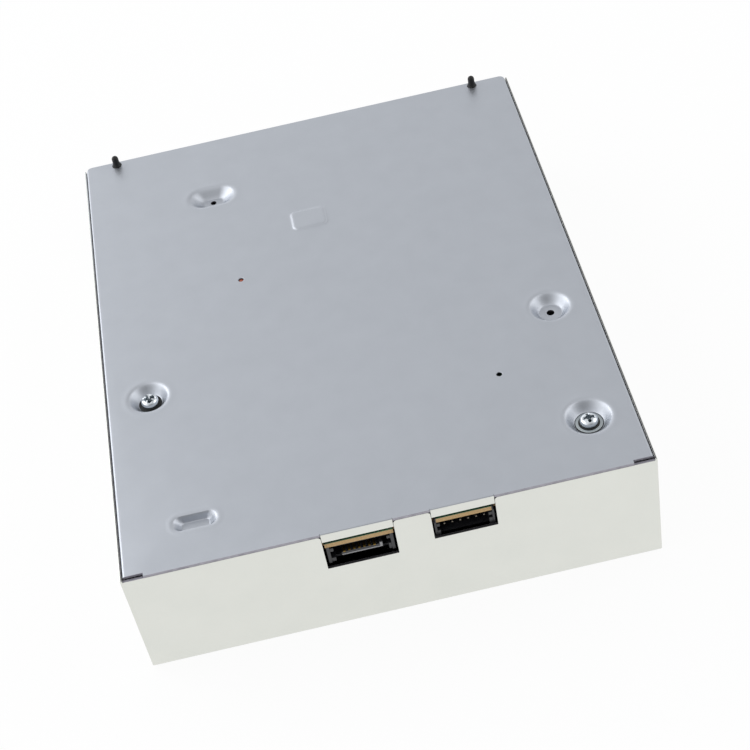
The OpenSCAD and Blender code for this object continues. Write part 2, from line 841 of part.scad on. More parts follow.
module frame_posts() {
    rod([drive_x, train_y], gear_post_r, front_deck_low, top_of_train);
    rod([belt_x, train_y], gear_post_r, front_deck_low, top_of_train);
    rod([idler_x, train_y], gear_post_r, front_deck_low, rack_gear_deep);
    rod([cam_x, cam_y], gear_post_r, front_deck_low, low_gear_deep + low_gear_t + near);
    for (x = [drive_x, idler_x, belt_x])
        rod([x, train_y], gear_hub_r, front_deck_low, low_gear_deep - near);
    rod([drive_x, train_y], gear_hub_r, front_deck_low, mid_gear_deep - near);
    rod([cam_x, cam_y], gear_hub_r, front_deck_low, low_gear_deep - near);
    for (p = [side_dish_pos, left_screw_pos, rear_screw_pos]) rod(p, boss_r, boss_top, deck_deep);
    rod(front_dish_pos, boss_r, boss_top, front_deck_low + front_deck_t);
    for (p = board_screw_spots) rod(p, board_post_r, board_base, deck_deep);
    for (x = [-post_left, post_right]) {
        rod([x, front_y - post_inset], post_r, -post_h + post_r, beam_t);
        at([x, front_y - post_inset], -post_h + post_r) sphere(post_r);
        at([x, front_y - post_inset], sheet) cylinder(r1 = post_base_r, r2 = post_r, h = sheet + post_base_h);
        rod([x, front_y - post_inset], post_base_r, sheet, frame_low);
    }
}

// Hooks that hold the slider's rack down on the front deck
module slider_guides() {
    for (x = [cam_x - slider_travel, cam_x + cam_gear_r + slider_travel])
        slab(front_deck_low, low_gear_deep - near) box2(x - lug_l / 2, slider_y + slider_t + near,
            x + lug_l / 2, front_deck_back + cut);
    for (s = [-1, 1], y = [slider_y - near - hook_t, slider_y + slider_t + near])
        slab(front_deck_low, deck_deep) box2(s > 0 ? guide_in : -frame_in,
            y, s > 0 ? frame_in : -guide_in, y + hook_t);
}

module pivot_block(s) {
    translate([s * (deck_in + pivot_end) / 2, pivot_y, body_h - pivot_deep]) rotate([0, 90, 0])
        cylinder(r = pivot_block_r, h = pivot_end - deck_in + rib_t, center = true);
    slab(pivot_deep, deck_deep) box2(s * (deck_in + pivot_end) / 2 - (pivot_end - deck_in + rib_t) / 2,
        pivot_y - pivot_block_r, s * (deck_in + pivot_end) / 2 + (pivot_end - deck_in + rib_t) / 2,
        pivot_y + pivot_block_r);
}

module loader_frame() {
    color("dimgray") difference() {
        union() {
            frame_walls();
            frame_decks();
            frame_posts();
            slider_guides();
            for (s = [-1, 1]) pivot_block(s);
        }
        translate([0, pivot_y, body_h - pivot_deep]) rotate([0, 90, 0])
            cylinder(r = pivot_r + running_gap, h = body_w, center = true);
        rod([motor_x, train_y], motor_r + near, frame_low, motor_plate_low);
        rod([motor_x, train_y], motor_boss_r + hole_gap, motor_plate_low - cut, deck_deep + cut);
        for (s = [-1, 1]) rod([motor_x + s * motor_screw_reach, train_y], motor_shank_r + hole_gap,
            motor_plate_low - cut, deck_deep + cut);
        for (p = [left_screw_pos, rear_screw_pos]) rod(p, shank_r + pilot_gap, boss_top - cut, boss_top + screw_l);
        for (p = [side_dish_pos]) rod(p, fix_hole_r, boss_top - cut, boss_top + boss_deep);
        rod(front_dish_pos, fix_hole_r, boss_top - cut, front_deck_low + front_deck_t + cut);
        for (p = board_screw_spots) rod(p, shank_r + pilot_gap, board_base - cut, board_base + screw_l);
        for (s = [-1, 1], y = [-bridge_screw_y, bridge_screw_y]) rod([s * bridge_screw_x, disc_y + y],
            motor_shank_r + pilot_gap, wall_deep - bridge_boss_h + cut, wall_deep + cut);
    }
}

module case_screws() {
    color("silver") {
        for (p = [left_screw_pos, rear_screw_pos])
            pan_screw(p, dish_deep, head_r, head_h, shank_r, screw_l);
        for (p = board_screw_spots) pan_screw(p, board_low, head_r, head_h, shank_r, screw_l);
    }
}

// Clamp bridge: a steel strip over the disc with a ring that carries the clamper
module clamp_bridge() {
    w = frame_x;
    color("silver") difference() {
        union() {
            slab(wall_deep, wall_deep + bridge_t) {
                box2(-w, disc_y - bridge_half, w, disc_y + bridge_half);
                translate([0, disc_y]) circle(bridge_ring_r);
            }
            for (s = [-1, 1], t = [-1, 1]) slab(wall_deep, wall_deep + bridge_t + bridge_flange_h)
                box2(s > 0 ? bridge_ring_r : leg_w * 2 - w, t > 0 ? disc_y + bridge_half - bridge_t : disc_y - bridge_half,
                    s > 0 ? w - leg_w * 2 : -bridge_ring_r, t > 0 ? disc_y + bridge_half : disc_y - bridge_half + bridge_t);
        }
        rod([0, disc_y], bridge_hole_r, wall_deep - cut, wall_deep + bridge_t + cut);
        for (s = [-1, 1], y = [-bridge_screw_y, bridge_screw_y]) rod([s * bridge_screw_x, disc_y + y],
            motor_shank_r + hole_gap, wall_deep - cut, wall_deep + bridge_t + cut);
    }
}

// Screws that are driven from the top-cover side
module turned_screw(p, seat, r, h, sr, l) {
    difference() {
        union() {
            rod(p, r, seat, seat + h);
            rod(p, sr, seat - l, seat);
        }
        at(p, seat + h * 1.5) for (a = [0, 90]) rotate([0, 0, a])
            translate([-r * 0.6, -r * 0.14, 0]) cube([r * 1.2, r * 0.28, h]);
    }
}

module bridge_screws() {
    color("silver") for (s = [-1, 1], y = [-bridge_screw_y, bridge_screw_y])
        turned_screw([s * bridge_screw_x, disc_y + y], wall_deep + bridge_t, motor_head_r, motor_head_h,
            motor_shank_r, bridge_t + bridge_boss_h - cut * 1.5);
}

// Circuit board with tongues at the two sockets
module circuit_board() {
    color("darkgreen") difference() {
        slab(board_low, board_base) {
            round2(board_left, board_edge, board_right, board_front, board_corner_r);
            box2(data_x - data_tongue_w / 2, board_rear, data_x + data_tongue_w / 2, board_edge + cut);
            box2(power_x - power_tongue_w / 2, board_rear, power_x + power_tongue_w / 2, board_edge + cut);
        }
        for (p = board_screw_spots) rod(p, shank_r + hole_gap, board_low - cut, board_base + cut);
    }
}

// Data socket: a shroud with an L-shaped tongue that carries seven contacts
data_back = board_rear + data_body_l;
data_mouth_low = board_base + data_wall;
data_mouth_deep = board_base + data_body_h - data_wall;
data_tongue_low = data_mouth_low + data_key_h + data_key_gap;
data_tongue_mid = data_x + data_tongue_x;

module data_connector() {
    color("black") {
        difference() {
            slab(board_base, board_base + data_body_h)
                box2(data_x - data_body_w / 2, board_rear, data_x + data_body_w / 2, data_back);
            slab(data_mouth_low, data_mouth_deep) box2(data_x - data_body_w / 2 + data_side, board_rear - cut,
                data_x + data_body_w / 2 - data_side, data_back - data_wall);
        }
        slab(data_tongue_low, data_tongue_low + data_tongue_t)
            box2(data_tongue_mid - data_tongue_l / 2, board_rear + data_recess,
                data_tongue_mid + data_tongue_l / 2, data_back - data_wall);
        slab(data_tongue_low - data_key_h, data_tongue_low + data_tongue_t)
            box2(data_tongue_mid + data_tongue_l / 2 - data_side, board_rear + data_recess,
                data_tongue_mid + data_tongue_l / 2, data_back - data_wall);
    }
}

module data_contacts() {
    color("gold") for (i = [-3 : 3])
        slab(data_tongue_low - contact_t, data_tongue_low)
            box2(data_tongue_mid - contact_w / 2 + (i - 1 / 4) * data_pitch, board_rear + data_recess + contact_w / 2,
                data_tongue_mid + contact_w / 2 + (i - 1 / 4) * data_pitch, data_back - data_wall);
}

// Power socket: a shroud hooked round the board's edge, with six pins
power_back = board_rear + power_body_l;

module power_connector() {
    color("black") difference() {
        union() {
            slab(board_base, board_base + power_body_h)
                box2(power_x - power_body_w / 2, board_rear, power_x + power_body_w / 2, power_back);
            for (s = [-1, 1]) slab(board_low, board_base + cut) box2(
                s > 0 ? power_x + power_tongue_w / 2 + tab_gap : power_x - power_body_w / 2, board_rear,
                s > 0 ? power_x + power_body_w / 2 : power_x - power_tongue_w / 2 - tab_gap, board_edge - tab_gap);
        }
        slab(board_base + power_roof, board_base + power_body_h - power_roof)
            box2(power_x - power_body_w / 2 + power_wall, board_rear - cut,
                power_x + power_body_w / 2 - power_wall, power_back - power_wall);
    }
}

module power_pins() {
    color("silver") for (i = [0 : 5])
        slab(board_base + power_roof * 3 / 2, board_base + power_roof * 3 / 2 + power_pin_w)
            box2(power_x + (i - 5 / 2) * power_pitch - power_pin_w / 2, board_rear + power_recess,
                power_x + (i - 5 / 2) * power_pitch + power_pin_w / 2, power_back - power_wall);
}

// Chips stand on the board's inner face; the leads are short flat feet
module chip(x, y, w, l, lead) {
    slab(board_base, board_base + chip_t) round2(x - w / 2, y - l / 2, x + w / 2, y + l / 2, chip_t / 3);
    slab(board_base, board_base + chip_t / 3) {
        for (i = [0 : floor(w / lead) - 2])
            box2(x - w / 2 + lead * (i + 1 / 2), y - l / 2 - lead / 2,
                x - w / 2 + lead * (i + 1), y + l / 2 + lead / 2);
    }
}

module controller_chip() {
    color("dimgray") chip(controller_x, controller_y, controller_w, controller_w, chip_lead);
}

module driver_chip() {
    color("dimgray") chip(driver_x, driver_y, driver_w, driver_w, chip_lead);
}

module memory_chip() {
    color("dimgray") chip(memory_x, memory_y, memory_w, driver_w, chip_lead);
}

// Sockets for the flat cables
flex_w = 18;
flex_socket_l = 4;

module flex_sockets() {
    color("ivory") {
        slab(board_base, board_base + chip_t)
            box2(-flex_w / 2 - chip_t, board_front - flex_socket_l, flex_w / 2 + chip_t, board_front);
        slab(board_base, board_base + chip_t)
            box2(-flex_w * 2, board_front - flex_socket_l, -flex_w * 5 / 4, board_front);
    }
}

capacitor_r = 2.5;
capacitor_h = 5;
capacitor_pitch = 7;
capacitor_inset = 13;

module board_capacitors() {
    color("silver") for (i = [1 : 3])
        rod([board_left + capacitor_inset, board_front - screw_inset - i * capacitor_pitch],
            capacitor_r, board_base, board_base + capacitor_h);
}

// Loading motor, belt and switch
module loading_motor() {
    color("silver") {
        rod([motor_x, train_y], motor_r, motor_plate_low - motor_h, motor_plate_low);
        difference() {
            rod([motor_x, train_y], motor_boss_r, motor_plate_low, motor_plate_low + motor_boss_h);
            rod([motor_x, train_y], motor_shaft_r + running_gap, motor_plate_low - cut / 2, deck_deep);
        }
    }
}

module motor_screws() {
    color("silver") for (s = [-1, 1])
        turned_screw([motor_x + s * motor_screw_reach, train_y], deck_deep, motor_head_r, motor_head_h,
            motor_shank_r, deck_deep - motor_plate_low);
}

// The outline of a belt's run over two pulleys, in short chords round each
module belt2(r0, r1) {
    l = motor_x - belt_x;
    a = acos((r0 - r1) / l);
    n = $fn / 2;
    translate([belt_x, train_y]) polygon([
        for (i = [0 : n]) polar(r0, a + (360 - 2 * a) * i / n),
        for (i = [0 : n]) [l, 0] + polar(r1, a * (2 * i / n - 1))
    ]);
}

module drive_belt() {
    color("black") slab(belt_deep, belt_deep + belt_t) difference() {
        belt2(pulley_r + running_gap + belt_t, motor_pulley_r + running_gap + belt_t);
        belt2(pulley_r + running_gap, motor_pulley_r + running_gap);
    }
}

switch_x = (motor_x + motor_plate_half + frame_in) / 2;
switch_row = 14;
switch_y = front_y - switch_row;
switch_w = 6;
switch_l = 8;
switch_h = 4.5;
switch_top = front_deck_low + front_deck_t + switch_h;
lever_t = 1;
lever_h = 1.8;
lever_w = 2;
lever_pin_r = 0.8;

module tray_switch() {
    color("dimgray") difference() {
        slab(front_deck_low + front_deck_t, switch_top)
            box2(switch_x - switch_w / 2, switch_y - switch_l / 2, switch_x + switch_w / 2, switch_y + switch_l / 2);
        slab(switch_top - lever_h, switch_top + cut) box2(switch_x - lever_w / 2 - near,
            switch_y - switch_l / 4, switch_x + lever_w / 2 + near, switch_y + switch_l / 4);
        translate([switch_x, switch_y, body_h - switch_top + lever_h / 2]) rotate([0, 90, 0])
            cylinder(r = lever_pin_r + running_gap, h = switch_w - lever_t, center = true);
    }
}

module switch_lever() {
    color("ivory") translate([switch_x, switch_y, body_h - switch_top + lever_h / 2]) {
        rotate([0, 90, 0]) cylinder(r = lever_pin_r, h = switch_w - lever_t - near, center = true);
        translate([-lever_w / 2, -lever_t / 2, -lever_h * 1.45]) cube([lever_w, lever_t, lever_h * 1.45]);
    }
}

// Flat cable from the board to the pickup, with one loop
flex_t = 0.3;
flex_back = 2;
flex_loop_y = lens_y + body_front - flex_back;
flex_low = 4.2;
flex_turn = (pickup_low - flex_low) / 2;
flex_slope = 6;
flex_foot = flex_turn + flex_low - board_base - chip_t / 2;

module pickup_flex() {
    color("sienna") along_x(-flex_w / 2, flex_w / 2) translate([flex_loop_y, body_h - flex_low - flex_turn]) {
        intersection() {
            difference() {
                circle(flex_turn);
                circle(flex_turn - flex_t);
            }
            box2(0, -flex_turn - cut, flex_turn + cut, flex_turn + cut);
        }
        box2(board_front + flex_slope - flex_loop_y, flex_turn - flex_t, 0, flex_turn);
        polygon([
            [board_front - flex_loop_y, flex_foot], [board_front - flex_loop_y, flex_foot - flex_t],
            [board_front + flex_slope - flex_loop_y, flex_turn - flex_t],
            [board_front + flex_slope - flex_loop_y, flex_turn]
        ]);
        box2(-body_rear, -flex_turn, 0, -flex_turn + flex_t);
    }
}

// Tray
module tray_slot2() {
    translate([0, disc_y]) circle(slot_half);
    box2(-slot_half, tray_rear_y - cut, slot_half, disc_y);
}

module tray_scoops2() {
    translate([0, disc_y]) for (s = [-1, 1])
        rotate(90 + s * scoop_turn) translate([scoop_reach, 0]) circle(scoop_r);
}

module tray_runner(s) {
    x = tray_x - runner_inset;
    slab(runner_low, tray_low) box2(s > 0 ? x - runner_t : -x, tray_rear_y, s > 0 ? x : runner_t - x, tray_front_y);
    slab(runner_low, runner_low + runner_foot_t)
        box2(s > 0 ? x : -x - runner_foot_w, tray_rear_y, s > 0 ? x + runner_foot_w : -x, tray_front_y);
}

module tray_rack() {
    y0 = tray_rear_y - train_y;
    slab(rack_gear_deep + near, tray_low) translate([rack_pitch_x, train_y]) rotate(-90)
        rack2(-pinion_r * 2, -y0, rack_back_t - gear_m);
}

module tray() {
    color("darkslategray") {
        difference() {
            union() {
                slab(tray_low, tray_floor) intersection() {
                    box2(-tray_x, tray_rear_y, tray_x, tray_front_y);
                    translate([0, disc_y]) circle(disc_r + tray_skin_t);
                }
                slab(tray_top - tray_skin_t, tray_top) box2(-tray_x, tray_rear_y, tray_x, tray_front_y);
                slab(tray_low, tray_top) intersection() {
                    box2(-tray_x, tray_rear_y, tray_x, tray_front_y);
                    translate([0, disc_y]) difference() {
                        circle(disc_r + tray_skin_t);
                        circle(disc_r - tray_skin_t);
                    }
                }
                slab(tray_low, tray_top) for (s = [-1, 1]) box2(
                    s > 0 ? tray_x - runner_inset - tray_skin_t : -tray_x, tray_rear_y,
                    s > 0 ? tray_x : runner_inset + tray_skin_t - tray_x, tray_front_y);
                slab(tray_low, tray_top) box2(-tray_x, tray_front_y - tray_skin_t, tray_x, tray_front_y);
                slab(tray_low, tray_floor) box2(-tray_x, tray_rear_y, rack_pitch_x, tray_front_y);
                slab(tray_low, tray_top) for (s = [-1, 1]) box2(s > 0 ? slot_half : -slot_half - tray_skin_t,
                    tray_rear_y, s > 0 ? slot_half + tray_skin_t : -slot_half, disc_y - disc_r);
            }
            rod([0, disc_y], disc_r, tray_floor, tray_top + cut);
            rod([0, disc_y], small_disc_r, tray_floor - small_disc_step, tray_top + cut);
            slab(tray_low - cut, tray_top + cut) tray_slot2();
            slab(tray_floor, tray_top + cut) intersection() {
                tray_scoops2();
                box2(-tray_x + runner_inset * 2, disc_y, tray_x - runner_inset * 2, tray_front_y - tray_skin_t * 2);
            }
        }
        difference() {
            slab(tray_low, tray_floor) intersection() {
                tray_scoops2();
                box2(-tray_x + runner_inset, disc_y, tray_x - runner_inset, tray_front_y - cut);
            }
            rod([0, disc_y], disc_r, tray_low - cut, tray_top);
        }
        for (s = [-1, 1]) tray_runner(s);
        tray_rack();
    }
}

module tray_front() {
    y0 = tray_front_y;
    color("lightgray") difference() {
        slab(front_plate_low, front_plate_top)
            box2(-front_plate_x, y0, front_plate_x, y0 + front_plate_t);
        for (s = [-1, 1]) slab(tray_top + clip_slot_h, tray_top + clip_slot_h * 2)
            box2(s * clip_slot_x - clip_slot_w / 2, y0 - cut, s * clip_slot_x + clip_slot_w / 2, front_y + cut);
        slab(front_plate_low + front_plate_t, front_plate_top - front_plate_t)
            box2(-front_plate_x + front_plate_t, y0 + front_plate_t / 2, front_plate_x - front_plate_t, front_y + cut);
    }
}

// Gears
module bored(x, y, r, d0, d1) {
    difference() {
        children();
        rod([x, y], r + running_gap, d0 - cut, d1 + cut);
    }
}

module gear_at(x, y, teeth, phase, d0, d1) {
    slab(d0, d1) translate([x, y]) gear2(teeth, phase);
}

module motor_pulley() {
    p = [motor_x, train_y];
    color("ivory") {
        rod(p, motor_pulley_r + pulley_flange_r, belt_deep - near - pulley_flange_t, belt_deep - near);
        rod(p, motor_pulley_r, belt_deep - near, belt_deep + belt_t + near);
        rod(p, motor_pulley_r + pulley_flange_r, belt_deep + belt_t + near,
            belt_deep + belt_t + near + pulley_flange_t);
        rod(p, motor_shaft_r, motor_plate_low, belt_deep);
    }
}

module belt_gear() {
    p = [belt_x, train_y];
    d0 = low_gear_deep;
    d1 = belt_deep + belt_t + near + pulley_flange_t;
    color("ivory") bored(belt_x, train_y, gear_post_r, d0, d1) {
        gear_at(belt_x, train_y, pinion_teeth, 180, d0, d0 + low_gear_t + near);
        rod(p, gear_hub_r, d0, d1);
        rod(p, pulley_r + pulley_flange_r, belt_deep - near - pulley_flange_t, belt_deep - near);
        rod(p, pulley_r, belt_deep - near, belt_deep + belt_t + near);
        rod(p, pulley_r + pulley_flange_r, belt_deep + belt_t + near, d1);
    }
}

module idler_gear() {
    d0 = low_gear_deep;
    d1 = rack_gear_deep - near;
    color("ivory") bored(idler_x, train_y, gear_post_r, d0, d1) {
        gear_at(idler_x, train_y, wheel_teeth, 180 / wheel_teeth, d0, d0 + low_gear_t);
        gear_at(idler_x, train_y, pinion_teeth, 180, d0 + low_gear_t, d1);
    }
}

module drive_gear() {
    d0 = mid_gear_deep;
    d1 = top_of_train - near;
    color("ivory") bored(drive_x, train_y, gear_post_r, d0, d1) {
        gear_at(drive_x, train_y, wheel_teeth, 180 / wheel_teeth, d0, d0 + mid_gear_t);
        gear_at(drive_x, train_y, rack_gear_teeth, 180, d0 + mid_gear_t, d1);
    }
}

module cam_gear() {
    d0 = low_gear_deep;
    d1 = low_gear_deep + low_gear_t;
    color("ivory") bored(cam_x, cam_y, gear_post_r, d0, d1)
        gear_at(cam_x, cam_y, cam_gear_teeth, -90, d0, d1);
}

// Slider: each traverse pin rides in a sloping slot
module slider_slot(x) {
    r = pivot_r + pin_slack;
    a = atan2(pin_drop, -slider_travel);
    n = $fn / 2;
    along_y(slider_y - cut, slider_y + slider_t + cut) translate([x, body_h - pivot_deep]) polygon([
        for (i = [0 : n]) polar(r, a + 90 + 180 * i / n),
        for (i = [0 : n]) [-slider_travel, pin_drop] + polar(r, a - 90 + 180 * i / n)
    ]);
}

module cam_slider() {
    x0 = -pin_x - slider_travel - slider_end;
    x1 = pin_x + slider_end;
    wing = frame_in - slider_wing_gap;
    color("white") difference() {
        union() {
            slab(slider_low, slider_deep) box2(x0, slider_y, x1, slider_y + slider_t);
            slab(slider_low, deck_deep - deck_t - near)
                box2(-wing, slider_y, wing - slider_travel, slider_y + slider_t);
            slab(low_gear_deep, low_gear_deep + low_gear_t) translate([cam_x, slider_rack_y])
                rack2(-slider_travel - cam_gear_r, cam_gear_r, slider_rack_y - gear_m - slider_y - slider_t);
        }
        for (x = [-pin_x, pin_x]) slider_slot(x);
    }
}

// Traverse holder: a hinged ring with its pivots behind and its lift pins in front
module traverse_holder() {
    y_axis = [0, pivot_y, body_h - pivot_deep];
    color("dimgray") difference() {
        union() {
            slab(holder_low, holder_deep) difference() {
                round2(-holder_x, holder_rear, holder_x, holder_front, holder_wall / 2);
                box2(-holder_x + holder_wall, holder_rear + holder_wall, holder_x - holder_wall,
                    holder_front - holder_wall);
            }
            slab(holder_deep, holder_deep + holder_rib_h) for (s = [-1, 1]) box2(
                s > 0 ? holder_x - rib_t : -holder_x, pivot_y, s > 0 ? holder_x : rib_t - holder_x, holder_front);
            for (x = [-damper_x, damper_x], y = [damper_rear_y, damper_front_y])
                rod([x, y], seat_r, holder_low, holder_deep);
            for (s = [-1, 1]) translate([s * holder_x, pivot_y, body_h - pivot_deep]) rotate([0, s * 90, 0])
                translate([0, 0, -holder_wall]) cylinder(r = pivot_r, h = pivot_end - holder_x + holder_wall);
            for (s = [-1, 1]) translate([s * (holder_x - holder_wall / 2), pivot_y, body_h - pivot_deep])
                rotate([0, 90, 0]) cylinder(r = pivot_r * 1.6, h = holder_wall, center = true);
            for (s = [-1, 1]) translate([s * pin_x, holder_front - cut, body_h - pivot_deep]) rotate([-90, 0, 0])
                cylinder(r = pivot_r, h = pin_y - holder_front + cut);
            for (s = [-1, 1]) slab(holder_deep, pivot_deep + pivot_r) box2(s * pin_x - pivot_r * 2,
                holder_front - holder_wall, s * pin_x + pivot_r * 2, holder_front);
        }
        for (x = [-damper_x, damper_x], y = [damper_rear_y, damper_front_y])
            rod([x, y], damper_shank_r + pilot_gap, holder_low - cut, holder_deep + cut);
    }
}

module rubber_dampers() {
    y0 = holder_deep;
    color("black") for (x = [-damper_x, damper_x], y = [damper_rear_y, damper_front_y]) difference() {
        union() {
            rod([x, y], damper_r, y0, plate_deep);
            rod([x, y], damper_neck_r, plate_deep, plate_deep + plate_t);
            rod([x, y], damper_r, plate_deep + plate_t, y0 + damper_h);
        }
        rod([x, y], damper_bore_r, y0 - cut, y0 + damper_h + cut);
    }
}

module damper_screws() {
    color("silver") for (x = [-damper_x, damper_x], y = [damper_rear_y, damper_front_y])
        turned_screw([x, y], holder_deep + damper_h, damper_head_r, damper_head_h, damper_shank_r,
            damper_h + holder_deep - holder_low - near);
}

// Traverse plate: pressed steel with a window for the pickup and seats for the rods
module traverse_plate() {
    w = plate_x;
    color("silver") difference() {
        union() {
            slab(plate_deep, plate_deep + plate_t) round2(-w, plate_rear, w, plate_front, holder_wall / 2);
            for (s = [-1, 1], y = [rod_rear, rod_front]) slab(rod_deep - rod_r - plate_t, plate_deep + plate_t)
                box2(s * rod_x - rod_r - plate_t, y - plate_t, s * rod_x + rod_r + plate_t, y + plate_t);
            slab(rod_deep - rod_r - plate_t, plate_deep + plate_t) box2(screw_x - sled_r, rod_front + plate_t * 3,
                screw_x + sled_r, rod_front + plate_t * 4);
        }
        slab(plate_deep - cut, plate_deep + plate_t + cut) {
            box2(-rod_x - ear_w / 2 - near, rod_rear + plate_t, rod_x + ear_w / 2 + near, rod_front - plate_t);
            box2(screw_x - screw_r - near * 2, rod_rear + plate_t * 3, -rod_x, rod_front + plate_t * 3);
        }
        rod([0, disc_y], rotor_r + rotor_gap * 2, plate_deep - cut, plate_deep + plate_t + cut);
        for (s = [-1, 1], y = [rod_rear, rod_front]) translate([s * rod_x, y, body_h - rod_deep])
            rotate([90, 0, 0]) cylinder(r = rod_r + pilot_gap, h = plate_t * 4, center = true);
        translate([screw_x, rod_front + plate_t * 3, body_h - rod_deep]) rotate([90, 0, 0])
            cylinder(r = screw_r + near, h = plate_t * 4, center = true);
        for (x = [-damper_x, damper_x], y = [damper_rear_y, damper_front_y]) {
            rod([x, y], damper_neck_r + pilot_gap, plate_deep - cut, plate_deep + plate_t + cut);
            slab(plate_deep - cut, plate_deep + plate_t + cut) box2(x > 0 ? x : x - seat_r * 2,
                y - damper_neck_r - pilot_gap, x > 0 ? x + seat_r * 2 : x, y + damper_neck_r + pilot_gap);
        }
    }
}

// Spindle motor: the base with its bearing, the wound stator and the turning cup
rotor_top = table_deep - table_t - pad_t;
rotor_low = plate_deep + rotor_gap;
base_rim = 5;
base_half = rotor_r + base_rim;

module spindle_base() {
    color("lightgray") difference() {
        union() {
            slab(plate_deep - plate_t, plate_deep) intersection() {
                box2(-base_half, disc_y - rotor_r + near, base_half, disc_y + base_half);
                translate([0, disc_y]) circle(base_half);
            }
            rod([0, disc_y], bearing_r, bearing_low, rotor_top - rotor_wall - rotor_gap);
        }
        rod([0, disc_y], shaft_r + running_gap, bearing_low + plate_t, rotor_top);
    }
}

module spindle_stator() {
    r1 = rotor_r - rotor_wall - rotor_gap;
    d0 = plate_deep + rotor_gap;
    d1 = rotor_top - rotor_wall - rotor_gap;
    color("peru") slab(d0, d1) translate([0, disc_y]) {
        difference() {
            union() {
                circle(stator_in * 1.5);
                for (i = [0 : stator_teeth - 1]) rotate(i * 360 / stator_teeth) {
                    box2(stator_in * 1.2, -stator_neck_w / 2, r1 - stator_shoe_t / 2, stator_neck_w / 2);
                    intersection() {
                        difference() {
                            circle(r1);
                            circle(r1 - stator_shoe_t);
                        }
                        box2(0, -stator_neck_w * 5 / 4, r1 + cut, stator_neck_w * 5 / 4);
                    }
                }
            }
            circle(bearing_r + pilot_gap);
        }
    }
}

module spindle_rotor() {
    color("silver") {
        at([0, disc_y], 0) rotate_extrude() polygon([
            [0, -rotor_top], [0, -bearing_low - plate_t - near], [shaft_r, -bearing_low - plate_t - near],
            [shaft_r, rotor_wall - rotor_top], [rotor_r - rotor_wall, rotor_wall - rotor_top],
            [rotor_r - rotor_wall, -rotor_low], [rotor_r, -rotor_low],
            [rotor_r, rotor_wall / 2 - rotor_top], [rotor_r - rotor_wall / 2, -rotor_top]
        ]);
    }
}

module turntable() {
    color("black") at([0, disc_y], 0) rotate_extrude() polygon([
        [0, -rotor_top], [table_r, -rotor_top], [table_r, -rotor_top - table_t],
        [table_r - table_pad_w, -rotor_top - table_t],
        [table_r - table_pad_w, pad_t / 2 - table_deep], [hub_r, pad_t / 2 - table_deep],
        [hub_r, -table_deep - hub_h / 3], [hub_tip_r, -table_deep - hub_h],
        [hub_tip_r - pad_t, -table_deep - hub_h], [hub_tip_r - pad_t, -table_deep - hub_h + pad_t],
        [0, -table_deep - hub_h + pad_t]
    ]);
}

module turntable_pad() {
    color("dimgray") difference() {
        rod([0, disc_y], table_r, table_deep - pad_t, table_deep);
        rod([0, disc_y], table_r - table_pad_w + pilot_gap, table_deep - pad_t - cut, table_deep + cut);
    }
}

module hub_ring() {
    d0 = table_deep + hub_h - pad_t;
    color("silver") difference() {
        rod([0, disc_y], hub_tip_r - pad_t - pilot_gap, d0, d0 + pad_t * 2 / 3);
        rod([0, disc_y], shaft_r * 2, d0 - cut, d0 + cut);
    }
}

// Guide rods, sled motor and lead screw
module guide_rods() {
    color("silver") for (s = [-1, 1]) translate([s * rod_x, rod_front + plate_t, body_h - rod_deep])
        rotate([90, 0, 0]) cylinder(r = rod_r, h = rod_front - rod_rear + plate_t * 2);
}

module sled_motor() {
    y0 = rod_front + plate_t * 4;
    color("silver") difference() {
        translate([screw_x, y0 + sled_l, body_h - rod_deep]) rotate([90, 0, 0]) cylinder(r = sled_r, h = sled_l);
        translate([screw_x, y0 + cut, body_h - rod_deep]) rotate([90, 0, 0])
            cylinder(r = motor_shaft_r + running_gap, h = cut * 2);
        slab(plate_deep, plate_deep + sled_r)
            box2(screw_x - sled_r - cut, y0 - cut, screw_x + sled_r + cut, y0 + sled_l + cut);
    }
}

module lead_screw() {
    y0 = rod_rear + plate_t * 3 + near;
    y1 = rod_front + plate_t * 2;
    color("lightgray") translate([screw_x, y1, body_h - rod_deep]) {
        rotate([90, 0, 0]) cylinder(r = screw_r, h = y1 - y0);
        rotate([-90, 0, 0]) cylinder(r = motor_shaft_r, h = plate_t * 2 + cut - near);
    }
}

// Pickup: a die-cast body that slides on the two rods
pickup_y0 = lens_y - body_rear;
pickup_y1 = lens_y + body_front;

module pickup_body() {
    color("slategray") difference() {
        union() {
            slab(pickup_low, pickup_deep) round2(-pickup_x, pickup_y0, pickup_x, pickup_y1, ear_w / 3);
            for (y = [pickup_y0 + near, pickup_y1 - ear_l]) slab(rod_deep - rod_r - plate_t, rod_deep + rod_r + plate_t / 2)
                box2(-rod_x - rod_r - plate_t / 2, y, -pickup_x + cut, y + ear_l - near);
            slab(rod_deep - rod_r - plate_t, rod_deep + rod_r + plate_t / 2)
                box2(pickup_x - cut, lens_y - ear_l, rod_x + rod_r + plate_t / 2, lens_y);
        }
        for (s = [-1, 1]) translate([s * rod_x, pickup_y1 + cut, body_h - rod_deep]) rotate([90, 0, 0])
            cylinder(r = rod_r + running_gap, h = body_front + body_rear + cut * 2);
        slab(pickup_deep - yoke_t * 2, pickup_deep + cut) box2(-actuator_half - pilot_gap,
            lens_y - actuator_half * 0.7 - pilot_gap, actuator_half + pilot_gap, lens_y + actuator_half * 0.7 + pilot_gap);
        slab(pickup_low - cut, pickup_low + yoke_t)
            round2(-pickup_x + ear_w / 2, pickup_y0 + ear_w / 2, pickup_x - ear_w / 2, pickup_y0 + ear_w * 3 / 2, yoke_t);
    }
}

module screw_follower() {
    x1 = -rod_x - rod_r - plate_t / 2;
    color("ivory") slab(rod_deep - screw_r, rod_deep + screw_r)
        box2(screw_x + screw_r + near, pickup_y1 - ear_l + near, x1, pickup_y1 - ear_l / 2);
}

